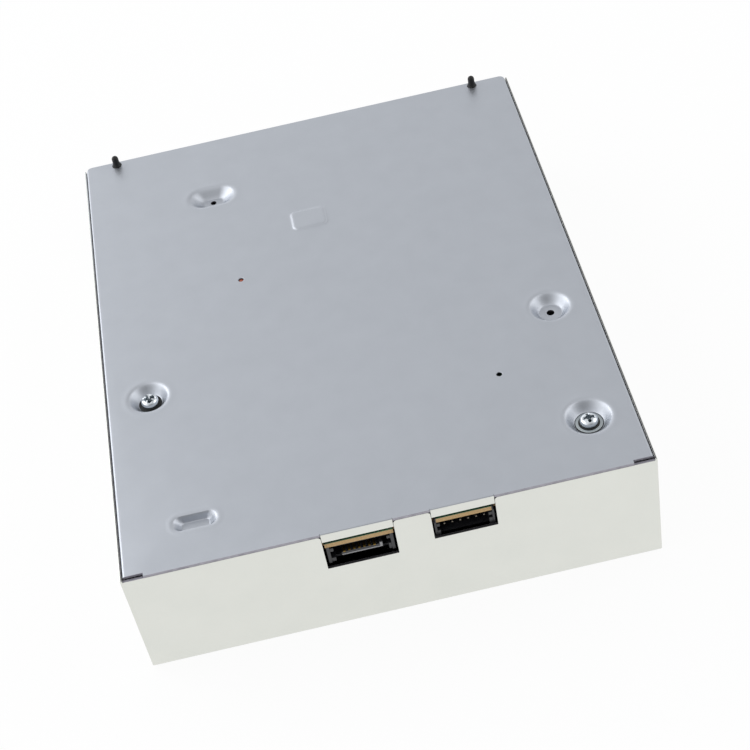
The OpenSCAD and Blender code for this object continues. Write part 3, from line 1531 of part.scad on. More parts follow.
module laser_unit() {
    color("goldenrod") slab(pickup_deep, pickup_deep + near)
        round2(-actuator_half, pickup_y0 + yoke_t, actuator_half, lens_y - actuator_half * 0.7 - yoke_t, near * 2);
}

module actuator_yoke() {
    h = actuator_half * 0.7;
    color("silver") {
        slab(pickup_deep - yoke_t * 2, pickup_deep - yoke_t)
            box2(-actuator_half, lens_y - h, actuator_half, lens_y + h);
        for (s = [-1, 1]) slab(pickup_deep - yoke_t * 2, actuator_deep) box2(-holder_half,
            s > 0 ? lens_y + h - yoke_t : lens_y - h, holder_half, s > 0 ? lens_y + h : lens_y - h + yoke_t);
    }
}

module actuator_magnets() {
    h = actuator_half * 0.7 - yoke_t;
    color("darkgray") for (s = [-1, 1]) slab(pickup_deep - yoke_t, actuator_deep) box2(-holder_half,
        s > 0 ? lens_y + h - magnet_y : lens_y - h, holder_half, s > 0 ? lens_y + h : lens_y - h + magnet_y);
}

module lens_holder() {
    h = actuator_half * 0.7 - yoke_t - magnet_y - near;
    color("ivory") difference() {
        union() {
            slab(pickup_deep, actuator_deep + near) box2(-holder_half * 3 / 2, lens_y - h, holder_half * 3 / 2, lens_y + h);
            rod([0, lens_y], lens_r + near * 2, actuator_deep, lens_top - near);
        }
        rod([0, lens_y], lens_r + pilot_gap, actuator_deep - near, lens_top + cut);
        rod([0, lens_y], lens_r - near, pickup_deep - cut, actuator_deep);
    }
}

module objective_lens() {
    color("lightskyblue") {
        rod([0, lens_y], lens_r, actuator_deep - near, lens_top - near * 2);
        at([0, lens_y], lens_top - near * 2) intersection() {
            translate([0, 0, lens_r * 1.2]) sphere(lens_r * 1.2 + near * 2);
            translate([0, 0, -near * 2]) cylinder(r = lens_r, h = near * 2);
        }
    }
}

// Clamper: the puck hangs in the bridge's ring and holds a magnet and its plate
bridge_deep = wall_deep + bridge_t;
puck_flange_deep = bridge_deep + near;
magnet_deep = puck_low + puck_recess_h + puck_wall / 2;

module clamper_puck() {
    color("gainsboro") at([0, disc_y], 0) rotate_extrude() polygon([
        [0, -puck_low - puck_recess_h], [puck_recess_r - cut / 2, -puck_low - puck_recess_h],
        [puck_recess_r, -puck_low], [puck_r - cut / 2, -puck_low], [puck_r, -puck_low - cut / 2],
        [puck_r, -puck_flange_deep], [puck_flange_r, -puck_flange_deep],
        [puck_flange_r, -puck_flange_deep - puck_flange_t], [magnet_r + pilot_gap, -puck_flange_deep - puck_flange_t],
        [magnet_r + pilot_gap, -magnet_deep], [0, -magnet_deep]
    ]);
}

module clamper_magnet() {
    color("dimgray") difference() {
        rod([0, disc_y], magnet_r, magnet_deep, magnet_deep + magnet_t);
        rod([0, disc_y], magnet_hole_r, magnet_deep - cut, magnet_deep + magnet_t + cut);
    }
}

module clamper_plate() {
    color("silver") rod([0, disc_y], magnet_r, magnet_deep + magnet_t, magnet_deep + magnet_t + clamp_plate_t);
}

casing();
base_cover();
loader_frame();
case_screws();
clamp_bridge();
bridge_screws();
circuit_board();
data_connector();
data_contacts();
power_connector();
power_pins();
controller_chip();
driver_chip();
memory_chip();
flex_sockets();
board_capacitors();
loading_motor();
motor_screws();
drive_belt();
tray_switch();
pickup_flex();
tray();
tray_front();
motor_pulley();
belt_gear();
idler_gear();
drive_gear();
cam_slider();
cam_gear();
switch_lever();
traverse_holder();
rubber_dampers();
damper_screws();
traverse_plate();
spindle_base();
spindle_stator();
guide_rods();
sled_motor();
spindle_rotor();
turntable();
turntable_pad();
hub_ring();
lead_screw();
pickup_body();
screw_follower();
laser_unit();
actuator_yoke();
actuator_magnets();
lens_holder();
objective_lens();
clamper_puck();
clamper_magnet();
clamper_plate();
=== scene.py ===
"""A console disc drive in plated sheet steel, lying on its top cover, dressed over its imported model."""

import json
import math
import random

import bmesh
import bpy
from mathutils import Matrix, Vector
from mathutils.geometry import delaunay_2d_cdt


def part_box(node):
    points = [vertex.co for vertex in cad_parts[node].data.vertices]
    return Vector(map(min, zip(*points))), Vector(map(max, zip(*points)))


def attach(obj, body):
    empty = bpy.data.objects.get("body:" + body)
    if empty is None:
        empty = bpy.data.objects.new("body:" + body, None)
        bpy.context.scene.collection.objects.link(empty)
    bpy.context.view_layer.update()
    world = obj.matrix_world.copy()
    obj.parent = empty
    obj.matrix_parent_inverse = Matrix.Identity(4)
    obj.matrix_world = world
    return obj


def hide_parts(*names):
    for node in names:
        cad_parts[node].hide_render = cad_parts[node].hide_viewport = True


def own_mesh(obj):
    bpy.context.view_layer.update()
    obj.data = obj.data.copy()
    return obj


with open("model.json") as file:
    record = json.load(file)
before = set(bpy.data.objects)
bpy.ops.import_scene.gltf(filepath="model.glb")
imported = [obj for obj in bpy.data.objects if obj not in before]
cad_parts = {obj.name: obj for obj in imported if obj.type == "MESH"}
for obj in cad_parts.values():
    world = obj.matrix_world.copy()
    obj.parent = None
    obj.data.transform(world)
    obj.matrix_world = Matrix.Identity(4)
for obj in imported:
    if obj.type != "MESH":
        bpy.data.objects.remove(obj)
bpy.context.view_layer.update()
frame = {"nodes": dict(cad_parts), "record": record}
NODES = frame["nodes"]
SLOTS = {s["node"]: s["material_slot"] for s in frame["record"]["subparts"]}
BODY_OF = {n: b for b, names in frame["record"]["behaviour"]["bodies"].items() for n in names}
MM = 0.001
# Height of the base cover's face in millimetres: depths are measured down from it
TOP = 35.8
# Edges that turn by this many degrees or more are broken
SHARP = 32


# ---- camera and lamps
def linked(name, data):
    """A new object in the scene, made of this data."""
    obj = bpy.data.objects.new(name, data)
    bpy.context.scene.collection.objects.link(obj)
    return obj


def place_camera():
    """The photograph's own viewpoint, found from the casing's corners."""
    right = Vector((0.97478221, -0.16886171, -0.14589507))
    up = Vector((0.2223906, 0.68088612, 0.69780837))
    forward = Vector((0.01849519, 0.71265687, -0.70126893))
    data = bpy.data.cameras.new("camera")
    data.sensor_width = 36
    data.lens = 84.57
    data.clip_start, data.clip_end = 0.01, 20
    camera = linked("camera", data)
    turn = Matrix((right, up, -forward)).transposed().to_4x4()
    camera.matrix_world = Matrix.Translation((-0.003478, -0.363541, 0.360550)) @ turn
    bpy.context.scene.camera = camera


def softbox(name, place, target, width, height, power):
    """A rectangular lamp that faces its target."""
    data = bpy.data.lights.new(name, "AREA")
    data.shape = "RECTANGLE"
    data.size, data.size_y, data.energy = width, height, power
    lamp = linked(name, data)
    lamp.location = place
    lamp.rotation_euler = (Vector(target) - Vector(place)).to_track_quat("-Z", "Y").to_euler()


# ---- nodes and colours
def linear(hex_colour):
    """A hex colour of a screen, as linear light."""
    parts = [int(hex_colour[i:i + 2], 16) / 255 for i in (1, 3, 5)]
    return [c / 12.92 if c <= 0.04045 else ((c + 0.055) / 1.055) ** 2.4 for c in parts] + [1]


def add(tree, kind, settings=None, **inputs):
    """Adds a node; its inputs are values, or outputs of other nodes that it is linked to."""
    made = tree.nodes.new(kind)
    for key, value in (settings or {}).items():
        setattr(made, key, value)
    for key, value in inputs.items():
        at = int(key[1:]) if key[0] == "_" and key[1:].isdigit() else key.replace("_", " ")
        if isinstance(value, bpy.types.NodeSocket):
            tree.links.new(value, made.inputs[at])
        else:
            made.inputs[at].default_value = value
    return made


def reckon(tree, how, first, *second):
    """One step of arithmetic on one or two numbers."""
    return add(tree, "ShaderNodeMath", {"operation": how}, **dict(zip(("_0", "_1"), (first, *second)))).outputs[0]


def apart(tree, vector):
    """The three numbers of a vector."""
    return add(tree, "ShaderNodeSeparateXYZ", Vector=vector).outputs


def together(tree, x=0.0, y=0.0, z=0.0):
    """A vector of three numbers."""
    return add(tree, "ShaderNodeCombineXYZ", _0=x, _1=y, _2=z).outputs[0]


def mixed(tree, share, first, second):
    """A colour between two, each a hex colour or an output."""
    first, second = (linear(c) if isinstance(c, str) else c for c in (first, second))
    return add(tree, "ShaderNodeMix", {"data_type": "RGBA"}, _0=share, _6=first, _7=second).outputs[2]


def ranged(tree, value, low, high, start=0.0, end=1.0, soft=False):
    """Goes from low to high while value goes from start to end; with soft it eases in and out."""
    settings = {"interpolation_type": "SMOOTHSTEP"} if soft else {}
    return add(tree, "ShaderNodeMapRange", settings, Value=value, _1=start, _2=end, _3=low, _4=high).outputs[0]


def bumped(tree, height, strength, depth):
    """A relief this many millimetres deep."""
    return add(tree, "ShaderNodeBump", Strength=strength, Distance=depth * MM, Height=height).outputs[0]


def cloud(tree, where, size, detail=2.0, stretch=None):
    """Soft noise whose features are this many millimetres across."""
    if stretch:
        where = add(tree, "ShaderNodeMapping", Vector=where, Scale=stretch).outputs[0]
    return add(tree, "ShaderNodeTexNoise", Vector=where, Scale=1000 / size, Detail=detail).outputs[0]


def blank(name):
    """An empty material with its tree, and the coordinates of the piece in metres."""
    made = bpy.data.materials.new(name)
    made.use_nodes = True
    made.node_tree.nodes.clear()
    return made, made.node_tree, add(made.node_tree, "ShaderNodeTexCoord").outputs["Object"]


def shaded(made, **look):
    """Ends a material with its shader."""
    shader = add(made.node_tree, "ShaderNodeBsdfPrincipled", **look).outputs[0]
    add(made.node_tree, "ShaderNodeOutputMaterial", Surface=shader)
    return made


# ---- finishes
def surface(name, colour, shade, roughness, vary, mottle, grain, depth, stretch=None, **look):
    """A finish with three layers: colour that drifts to shade, roughness that varies, and a fine relief.
    mottle and grain are the sizes of their features, and depth that of the relief, in millimetres."""
    made, tree, where = blank(name)
    fine = cloud(tree, where, grain, 2.0, stretch)
    return shaded(made, Base_Color=mixed(tree, cloud(tree, where, mottle, 3.0, stretch), colour, shade),
                  Roughness=ranged(tree, fine, max(0.02, roughness - vary), min(1, roughness + vary)),
                  Normal=bumped(tree, fine, 0.6, depth), **look)


def metal(*values, **look):
    """A finish of bare or plated metal."""
    return surface(*values, Metallic=1.0, **look)


def plastic(name, colour, shade, roughness, vary, ior, *sizes, **look):
    """A finish that bends light by ior: a plastic, rubber, glaze or ceramic."""
    return surface(name, colour, shade, roughness, vary, *sizes, IOR=ior, **look)


# Zinc-plated steel sheet: a satin metal with a faint cloudiness, bluish where the cover was passivated
COVER = metal("zinc_plated_steel_satin", "#BFC3CA", "#B8BCC3", 0.42, 0.05, 7, 0.6, 0.003)
# The cover's own cut edge, sheared steel like the casing's rims: paler, with a violet cast, as painted light where the
# edge is seen at a grazing angle
CUT_PAINTED_LIGHT = metal("plated_cut_edge", "#BDBBC4", "#85838C", 0.55, 0.12, 1.4, 0.3, 0.02)
# The same sheet on the casing, a little warmer, and lighter than the cover: painted light, as its rear wall faces the
# light
CASING_PAINTED_LIT = metal("zinc_plated_steel_bright", "#E6E7E1", "#DFE1DB", 0.42, 0.05, 12, 0.5, 0.003)
# The casing's inner side: the same zinc, darker as painted shade
INSIDE_PAINTED_SHADE = metal("zinc_plated_steel_inside", "#74777B", "#66696D", 0.6, 0.08, 5, 0.5, 0.006)
# Bright zinc on machine-made screws: sharp reflections with small pits
SCREW = metal("zinc_plated_screw_bright", "#E6EAEE", "#D4DAE0", 0.16, 0.06, 1.2, 0.25, 0.003)
# The inside of a screw's recess: the same zinc, darker as painted shade
RECESS = metal("zinc_recess_unpolished", "#6B747B", "#4B5359", 0.3, 0.1, 0.5, 0.2, 0.004)
# Captive washer of plated steel in the dish's shade: a dim grey shine
WASHER = metal("zinc_steel_washer", "#B9C0C3", "#A3AAAD", 0.36, 0.08, 1.5, 0.25, 0.003)
# Plain steel sheet as rolled: fine lines along the rolling direction
STEEL = metal("cold_rolled_steel_sheet", "#C9CACB", "#BCBEC0", 0.3, 0.08, 5, 0.3, 0.003, stretch=(1, 0.06, 1))
# Ground rod: a hard bright line of light with marks round the rod
ROD = metal("ground_steel_rod", "#D8D9DA", "#CBCDD0", 0.14, 0.05, 3, 0.15, 0.001)
# Drawn aluminium can: pale and bright
CAN = metal("drawn_aluminium_can", "#DADBDC", "#CFD1D3", 0.26, 0.05, 3, 0.2, 0.002)
# Die-cast zinc, tumbled: a cool grey skin with a cast grain
CAST = metal("zinc_die_casting_tumbled", "#B4B7BB", "#A3A6AB", 0.46, 0.1, 2.5, 0.3, 0.012)
# Nickel over a sintered magnet: dark and lustrous
MAGNET = metal("nickel_plated_magnet", "#97989B", "#86878B", 0.3, 0.08, 2, 0.3, 0.004)
# Gold flashed over nickel: yellow, polished by the tool
GOLD = metal("gold_plated_bronze", "#D9B868", "#CDAA58", 0.22, 0.05, 1, 0.2, 0.001)
# The same gold, darker as painted shade where it lies in the socket
GOLD_PAINTED_SHADE = metal("wiped_gold_contact", "#9A7F40", "#735C2A", 0.4, 0.08, 0.8, 0.2, 0.002)
# Tin dipped: a soft grey shine
TIN = metal("tin_plated_bronze", "#D2D2CF", "#C4C4C2", 0.3, 0.06, 1, 0.2, 0.001)
# Pin tips in the power socket: tin, darker grey as painted shade
TIN_PAINTED_SHADE = metal("tarnished_pin_tip", "#9C9386", "#79726A", 0.5, 0.08, 0.6, 0.2, 0.003)
# Solder as it froze: bright, softly rippled
SOLDER = metal("frozen_tin_solder", "#D9DBDC", "#C3C6C8", 0.22, 0.06, 0.5, 0.2, 0.006)
# Moulded ABS, spark-eroded: black with a soft sheen
FRAME = plastic("black_abs_moulded", "#121314", "#18191A", 0.5, 0.08, 1.53, 8, 0.35, 0.012, Specular_IOR_Level=0.35)
# Tray: dark grey ABS with a fine even grain
TRAY = plastic("dark_grey_abs_textured", "#2C2C2F", "#343438", 0.52, 0.07, 1.53, 10, 0.45, 0.02)
# Glass-filled nylon: deep black, a little rough from its fibres
NYLON = plastic("black_glass_filled_nylon", "#17171A", "#202024", 0.42, 0.1, 1.53, 3, 0.3, 0.01)
# Natural nylon of cable sockets
IVORY = plastic("natural_nylon_moulded", "#D9D2BE", "#D1C9B3", 0.45, 0.06, 1.53, 4, 0.4, 0.006)
# Phenolic pin that shows through the cover's left hole: brown and dull
PIN = plastic("brown_phenolic_pin", "#B8624A", "#8F4632", 0.5, 0.08, 1.55, 0.8, 0.2, 0.008)
# Crystal polymer of the sockets: black, with a grey sheen where it faces the light
SOCKET = plastic("black_socket_polymer", "#1A1A1C", "#26262A", 0.34, 0.1, 1.6, 1.5, 0.3, 0.01)
# The tongue's nose: a grey strip along its front edge
NOSE = plastic("grey_nose_polymer", "#A3A3A4", "#88888B", 0.4, 0.08, 1.6, 1, 0.2, 0.006)
# Fired ceramic of the small capacitors: a tan, matt block
CERAMIC = plastic("ceramic_capacitor_body", "#A98B66", "#997B57", 0.55, 0.06, 1.6, 0.8, 0.2, 0.003)
# Glaze of the small resistors: black glass
GLAZE = plastic("black_resistor_glaze", "#17181B", "#202125", 0.25, 0.05, 1.5, 0.8, 0.2, 0.002)
# Epoxy moulding compound: charcoal, matt, with a flow grain
CHIP = plastic("epoxy_moulding_compound", "#232427", "#2B2C2F", 0.6, 0.06, 1.55, 3, 0.2, 0.006)
# Moulded rubber: black, dry, with a dusty bloom
RUBBER = plastic("black_rubber_moulded", "#161617", "#232324", 0.78, 0.08, 1.52, 2.5, 0.25, 0.012)
# Acetal as moulded: milky white and waxy
ACETAL = plastic("natural_acetal_moulded", "#E4E1D6", "#DBD7CA", 0.36, 0.06, 1.48, 4, 0.35, 0.004,
                 Subsurface_Weight=0.12, Subsurface_Radius=(0.0012, 0.001, 0.0008), Subsurface_Scale=1.0)
# Clamper: light grey acetal
CLAMP = plastic("grey_acetal_moulded", "#CFCFCB", "#C6C6C2", 0.4, 0.06, 1.48, 5, 0.35, 0.005)
# Polycarbonate of the turntable: black and smooth
TURN = plastic("black_polycarbonate_moulded", "#18181A", "#1F1F22", 0.34, 0.05, 1.58, 5, 0.4, 0.004)
# Liquid-crystal polymer of the lens holder: near black with flow streaks
HOLDER = plastic("black_crystal_polymer", "#1E1D1B", "#282724", 0.5, 0.08, 1.6, 1.5, 0.2, 0.006, stretch=(1, 0.3, 1))


def board_material():
    """Glass epoxy board: green mask over copper tracks on its faces, and raw tan laminate on its cut edges."""
    made, tree, where = blank("glass_epoxy_board_masked")
    x, y, z = apart(tree, where)
    # tracks 0.35 mm wide and 1.1 mm apart that jog sideways by 4 mm, in patches about 14 mm across
    jog = reckon(tree, "MINIMUM", reckon(tree, "PINGPONG", x, 13 * MM), 4 * MM)
    lane = reckon(tree, "ADD", y, jog)
    patch = add(tree, "ShaderNodeTexVoronoi", {"distance": "MANHATTAN"}, Scale=1000 / 14,
                Vector=together(tree, x, lane)).outputs["Color"]
    lane = reckon(tree, "FRACT", reckon(tree, "MULTIPLY", lane, 1 / (1.1 * MM)))
    tracks = reckon(tree, "MULTIPLY", reckon(tree, "LESS_THAN", lane, 0.32), reckon(tree, "GREATER_THAN", patch, 0.42))
    mask = mixed(tree, tracks, "#174F2D", "#2F7A49")
    flat = apart(tree, add(tree, "ShaderNodeNewGeometry").outputs["True Normal"])[2]
    edge = reckon(tree, "LESS_THAN", reckon(tree, "ABSOLUTE", flat), 0.5)
    bare = reckon(tree, "MULTIPLY", edge, reckon(tree, "LESS_THAN", z, (TOP - 4.85) * MM))
    laminate = mixed(tree, cloud(tree, where, 0.5, 3.0, (1, 1, 6)), "#B9955F", "#CDB083")
    return shaded(made, Base_Color=mixed(tree, bare, mask, laminate), Roughness=ranged(tree, bare, 0.3, 0.75),
                  Normal=bumped(tree, tracks, 0.5, 0.02), IOR=1.55)


def edge_material():
    """Where the sheet was sheared: bare steel, dull and speckled, darker than the cover's cut edge partly as painted
    shade, and paler on the left towards the front.
    """
    made, tree, where = blank("sheared_steel_edge")
    speckled = mixed(tree, cloud(tree, where, 1.1, 3.0), "#737176", "#525055")
    x, y, _ = apart(tree, where)
    front = ranged(tree, y, 0.0, 1.0, 5 * MM, 72 * MM, soft=True)
    paler_left_front = reckon(tree, "MULTIPLY", front, reckon(tree, "LESS_THAN", x, 0.0))
    fine = cloud(tree, where, 0.3)
    return shaded(made, Base_Color=mixed(tree, paler_left_front, speckled, "#BFC2C7"), Metallic=1.0,
                  Roughness=ranged(tree, fine, 0.5, 0.74), Normal=bumped(tree, fine, 0.5, 0.006))


def film_material():
    """Polyimide film over copper: amber and glossy, with a paler line where each conductor lies under it."""
    made, tree, where = blank("polyimide_film_amber")
    x = apart(tree, where)[0]
    across = reckon(tree, "PINGPONG", reckon(tree, "MULTIPLY", x, 1 / MM), 0.5)
    within = reckon(tree, "LESS_THAN", reckon(tree, "ABSOLUTE", x), 8.4 * MM)
    copper = reckon(tree, "MULTIPLY", ranged(tree, across, 0.0, 1.0, 0.17, 0.21), within)
    return shaded(made, Base_Color=mixed(tree, copper, "#6E3F16", "#C07F3C"),
                  Roughness=ranged(tree, cloud(tree, where, 0.6), 0.2, 0.34), Normal=bumped(tree, copper, 0.7, 0.03),
                  IOR=1.7)


def winding_material():
    """Enamelled copper wire laid side by side: reddish, glossy, with a line for each turn."""
    made, tree, where = blank("enamelled_copper_winding")
    turns = add(tree, "ShaderNodeTexWave", {"bands_direction": "Z"}, Vector=where, Scale=1400,
                Distortion=0.6).outputs[1]
    return shaded(made, Base_Color=mixed(tree, turns, "#7A3A1C", "#C87F4A"), Metallic=0.9, Roughness=0.32,
                  Normal=bumped(tree, turns, 0.9, 0.08))


def lens_material():
    """Moulded objective lens with an antireflection coating: clear, with a violet-blue sheen painted into its colour,
    paler towards its rim as a painted reflection.
    """
    made, tree, _ = blank("coated_objective_lens")
    rim = add(tree, "ShaderNodeLayerWeight", Blend=0.35).outputs[1]
    return shaded(made, Base_Color=mixed(tree, rim, "#4C5FA8", "#9FA8E8"), Roughness=0.05, IOR=1.52, Coat_Weight=1.0,
                  Coat_Roughness=0.03)


BOARD, EDGE, FILM = board_material(), edge_material(), film_material()
COPPER, LENS = winding_material(), lens_material()


def floor_and_world():
    """A pale floor that keeps a soft shadow, and a white surround that the metal reflects."""
    made, tree, _ = blank("matt_studio_floor")
    rays = add(tree, "ShaderNodeLightPath").outputs
    seen = reckon(tree, "MAXIMUM", rays["Is Camera Ray"], rays["Is Glossy Ray"])
    seen = reckon(tree, "MAXIMUM", seen, rays["Is Transmission Ray"])
    matt = add(tree, "ShaderNodeBsdfDiffuse", Color=linear("#F2F2F2")).outputs[0]
    white = add(tree, "ShaderNodeEmission", Color=(1, 1, 1, 1), Strength=1.0).outputs[0]
    both = add(tree, "ShaderNodeMixShader", _0=reckon(tree, "MULTIPLY", seen, 0.92), _1=matt, _2=white).outputs[0]
    add(tree, "ShaderNodeOutputMaterial", Surface=both)
    half = 3.0
    mesh = bpy.data.meshes.new("floor")
    mesh.from_pydata([(-half, -half, 0), (half, -half, 0), (half, half, 0), (-half, half, 0)], [], [(0, 1, 2, 3)])
    mesh.materials.append(made)
    floor = linked("floor", mesh)
    floor.location.z = -0.02 * MM
    world = bpy.data.worlds.new("studio")
    world.use_nodes = True
    tree = world.node_tree
    tree.nodes.clear()
    rays = add(tree, "ShaderNodeLightPath").outputs
    x, y, z = apart(tree, add(tree, "ShaderNodeTexCoord").outputs["Generated"])
    # brighter low down and to the left, dim behind the camera and at the far left, where the cover would glare
    level = ranged(tree, z, 1.18, 0.80, 0.12, 0.80, soft=True)
    for share in (ranged(tree, y, 0.32, 1.0, -0.95, -0.48, soft=True), ranged(tree, x, 1.28, 0.80, -0.45, 0.45),
                  ranged(tree, x, 0.60, 1.0, -0.99, -0.88, soft=True)):
        level = reckon(tree, "MULTIPLY", level, share)
    soft = add(tree, "ShaderNodeBackground", Color=linear("#F6F7F8"), Strength=level).outputs[0]
    white = add(tree, "ShaderNodeBackground", Color=(1, 1, 1, 1), Strength=1.0).outputs[0]
    both = add(tree, "ShaderNodeMixShader", _0=rays["Is Camera Ray"], _1=soft, _2=white).outputs[0]
    add(tree, "ShaderNodeOutputWorld", Surface=both)
    bpy.context.scene.world = world


place_camera()
floor_and_world()
softbox("left_softbox", (-0.68, 0.10, 0.52), (0, 0, 0.02), 0.75, 0.75, 1.7)
softbox("left_back_softbox", (-0.60, 0.48, 0.40), (-0.05, 0, 0.03), 0.40, 0.48, 0.8)
softbox("right_softbox", (0.70, -0.02, 0.50), (0, 0, 0.02), 0.75, 0.75, 1.6)
softbox("back_softbox", (0.55, 0.75, 0.45), (0, 0, 0.02), 0.25, 0.25, 0.06)


# ---- meshes and pieces
def hand_over(obj, nodes, slot, *materials, body="chassis"):
    """Finishes a piece: sets its materials, lets it ride on a body, and hides the CAD nodes it stands for."""
    kinds = [face.material_index for face in obj.data.polygons]
    obj.data.materials.clear()
    for material in materials:
        obj.data.materials.append(material)
    obj.data.polygons.foreach_set("material_index", [min(k, len(materials) - 1) for k in kinds])
    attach(obj, body)
    if nodes:
        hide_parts(*nodes)


def smoothed(mesh, sharp):
    """Shades a mesh smooth but for edges over this many degrees."""
    mesh.shade_smooth()
    mesh.set_sharp_from_angle(angle=math.radians(sharp))
    return mesh


def as_mesh(work, name):
    """Ends the work on a new mesh."""
    mesh = bpy.data.meshes.new(name)
    work.to_mesh(mesh)
    work.free()
    return mesh


def shaped(work, name, sharp, second=None):
    """Makes turned forms into an object: seams closed, faces outward, and smooth but for sharp edges.
    Faces whose middle, in millimetres, passes the test called second get the second material."""
    bmesh.ops.remove_doubles(work, verts=work.verts, dist=1e-7)
    bmesh.ops.recalc_face_normals(work, faces=work.faces)
    if second:
        for face in work.faces:
            face.material_index = 1 if second(face.calc_center_median() / MM) else 0
    return linked(name, smoothed(as_mesh(work, name), sharp))


def skin(work, rows):
    """Faces between neighbouring rows of points, all the way round, each with its row and place.
    A row of one point is a tip."""
    made, around = [], max(len(row) for row in rows)
    for level, (low, high) in enumerate(zip(rows, rows[1:])):
        for k in range(around):
            n = (k + 1) % around
            corners = (low[k % len(low)], low[n % len(low)], high[n % len(high)], high[k % len(high)])
            corners = list(dict.fromkeys(corners))
            if len(corners) > 2:
                made.append((level, k, work.faces.new(corners)))
    return made


def merged(node, split=False):
    """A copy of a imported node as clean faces: doubles merged and flat triangles joined.
    With split the many-sided faces become triangles again, so a bevel can't pull them over an opening."""
    mesh = NODES[node].data.copy()
    work = bmesh.new()
    work.from_mesh(mesh)
    bmesh.ops.remove_doubles(work, verts=work.verts, dist=0.002 * MM)
    bmesh.ops.dissolve_limit(work, angle_limit=math.radians(0.5), verts=work.verts, edges=work.edges)
    if split:
        wide = [face for face in work.faces if len(face.verts) > 4]
        bmesh.ops.triangulate(work, faces=wide, quad_method="BEAUTY", ngon_method="EAR_CLIP")
    work.to_mesh(mesh)
    work.free()
    if "custom_normal" in mesh.attributes:
        mesh.attributes.remove(mesh.attributes["custom_normal"])
    return mesh


def modified(obj, kind, **settings):
    """A new modifier of an object, with its settings."""
    made = obj.modifiers.new(kind.lower(), kind)
    for key, value in settings.items():
        setattr(made, key, value)
    return made


def frozen(obj):
    """Applies the modifiers of an object to its mesh."""
    made = bpy.data.meshes.new_from_object(obj.evaluated_get(bpy.context.evaluated_depsgraph_get()))
    obj.modifiers.clear()
    obj.data = made
    return made


def settled(obj):
    """Applies the modifiers, and shades flat faces flat and bevels smooth."""
    smoothed(frozen(obj), 38)
    modified(obj, "WEIGHTED_NORMAL", mode="FACE_AREA", weight=50, keep_sharp=True)
    frozen(obj)
    return obj


def rounded(mesh, name, width):
    """Breaks the sharp edges of a mesh by width millimetres and shades it smooth between them."""
    obj = linked(name, mesh)
    if width:
        modified(obj, "BEVEL", width=width * MM, segments=2, limit_method="ANGLE", angle_limit=math.radians(SHARP),
                 use_clamp_overlap=True, miter_outer="MITER_ARC")
    return settled(obj)


def prisms(name, loops, width):
    """Closed four-sided prisms, each from two loops of points in millimetres, with broken edges."""
    work = bmesh.new()
    for points in loops:
        verts = [work.verts.new([c * MM for c in p]) for p in points]
        work.faces.new(verts[:4][::-1])
        work.faces.new(verts[4:])
        skin(work, [verts[:4], verts[4:]])
    bmesh.ops.recalc_face_normals(work, faces=work.faces)
    return rounded(as_mesh(work, name), name, width)


def blocks(name, boxes, width):
    """Blocks with broken edges, given as x0, y0, depth0, x1, y1, depth1 in millimetres below the cover's face."""
    return prisms(name, [[(x, y, TOP - d) for d in (d1, d0) for x, y in ((x0, y0), (x1, y0), (x1, y1), (x0, y1))]
                         for x0, y0, d0, x1, y1, d1 in boxes], width)


def lathe(work, x, y, profile, steps=40):
    """Turns a closed outline of radius and height, in millimetres, about an upright line."""
    skin(work, [[work.verts.new(((x + r * math.cos(a)) * MM, (y + r * math.sin(a)) * MM, z * MM))
                 for a in (2 * math.pi * k / steps for k in range(steps if r > 0 else 1))] for r, z in profile])


# ---- the pressed base cover
SHEET = 0.8
FLANGE_X, BEND_R, FLANGE_DEEP = 66.38, 0.8, 4.0
REAR_Y, FRONT_Y = -83.3, 83.3
STEP_W, STEP_BACK, CORNER_R = 5.2, 1.0, 2.0
TAB_R, TAB_LOW, TAB_GAP = 0.35, 3.0, 0.1
# The middle and the width of each tab
TABS = ((-8.3, 18.1), (18.1, 16.1))
# x, y, radius at the lip, radius of the floor
SCREW_DISHES = ((-55, -22.6, 5.5, 3.15), (54.6, -64.8, 6.1, 3.7))
FREE_DISH = (55, -22.6, 5.6, 3.05)
OBLONG_DISH, STRIP, PAD = (-29.4, 56.1), (-47, -69.4), (-2.6, 36.0)
PIN_HOLE, VENT = (-25.2, 15.9), (36.4, -43.4)
POSTS = ((-56.7, 81.7), (55.8, 81.7))
DISH_DEEP, OBLONG_DEEP, STRIP_DEEP = 2.5, 2.55, 1.9
BEND_STEPS = 7


def ring(cx, cy, a, b, corner, count):
    """Points round a rounded rectangle of half sizes a and b: a circle where all three are alike."""
    points = []
    for k in range(count):
        turn = 2 * math.pi * (k + 0.5) / count
        c, s = math.cos(turn), math.sin(turn)
        points.append((cx + math.copysign(a - corner, c) + corner * c, cy + math.copysign(b - corner, s) + corner * s))
    return points


def fall(t, straight=0.5):
    """How far down a pressed wall is at this share of its width: partly straight, partly eased at both ends."""
    return straight * t + (1 - straight) * (3 * t * t - 2 * t ** 3)


def rounds(profile):
    """Rings of a round pressing, from radius and height."""
    return [(r, r, r, z) for r, z in profile]


def round_dish(r, floor, hole):
    """Rings of a round dish, from the flat sheet down to its hole."""
    wall = [(r + 2.6, 0), (r + 1.7, 0.01), (r + 1.1, 0.05), (r + 0.55, 0.06), (r + 0.15, -0.02)]
    wall += [(r - (r - floor) * t, -DISH_DEEP * fall(t, 0.55)) for t in (0.09, 0.19, 0.3, 0.45, 0.62, 0.78, 0.9, 0.97)]
    return rounds(wall + [(floor - 0.08, -DISH_DEEP), (floor - 0.4, -DISH_DEEP), (hole + 0.12, -DISH_DEEP),
                          (hole, -DISH_DEEP - 0.04)])


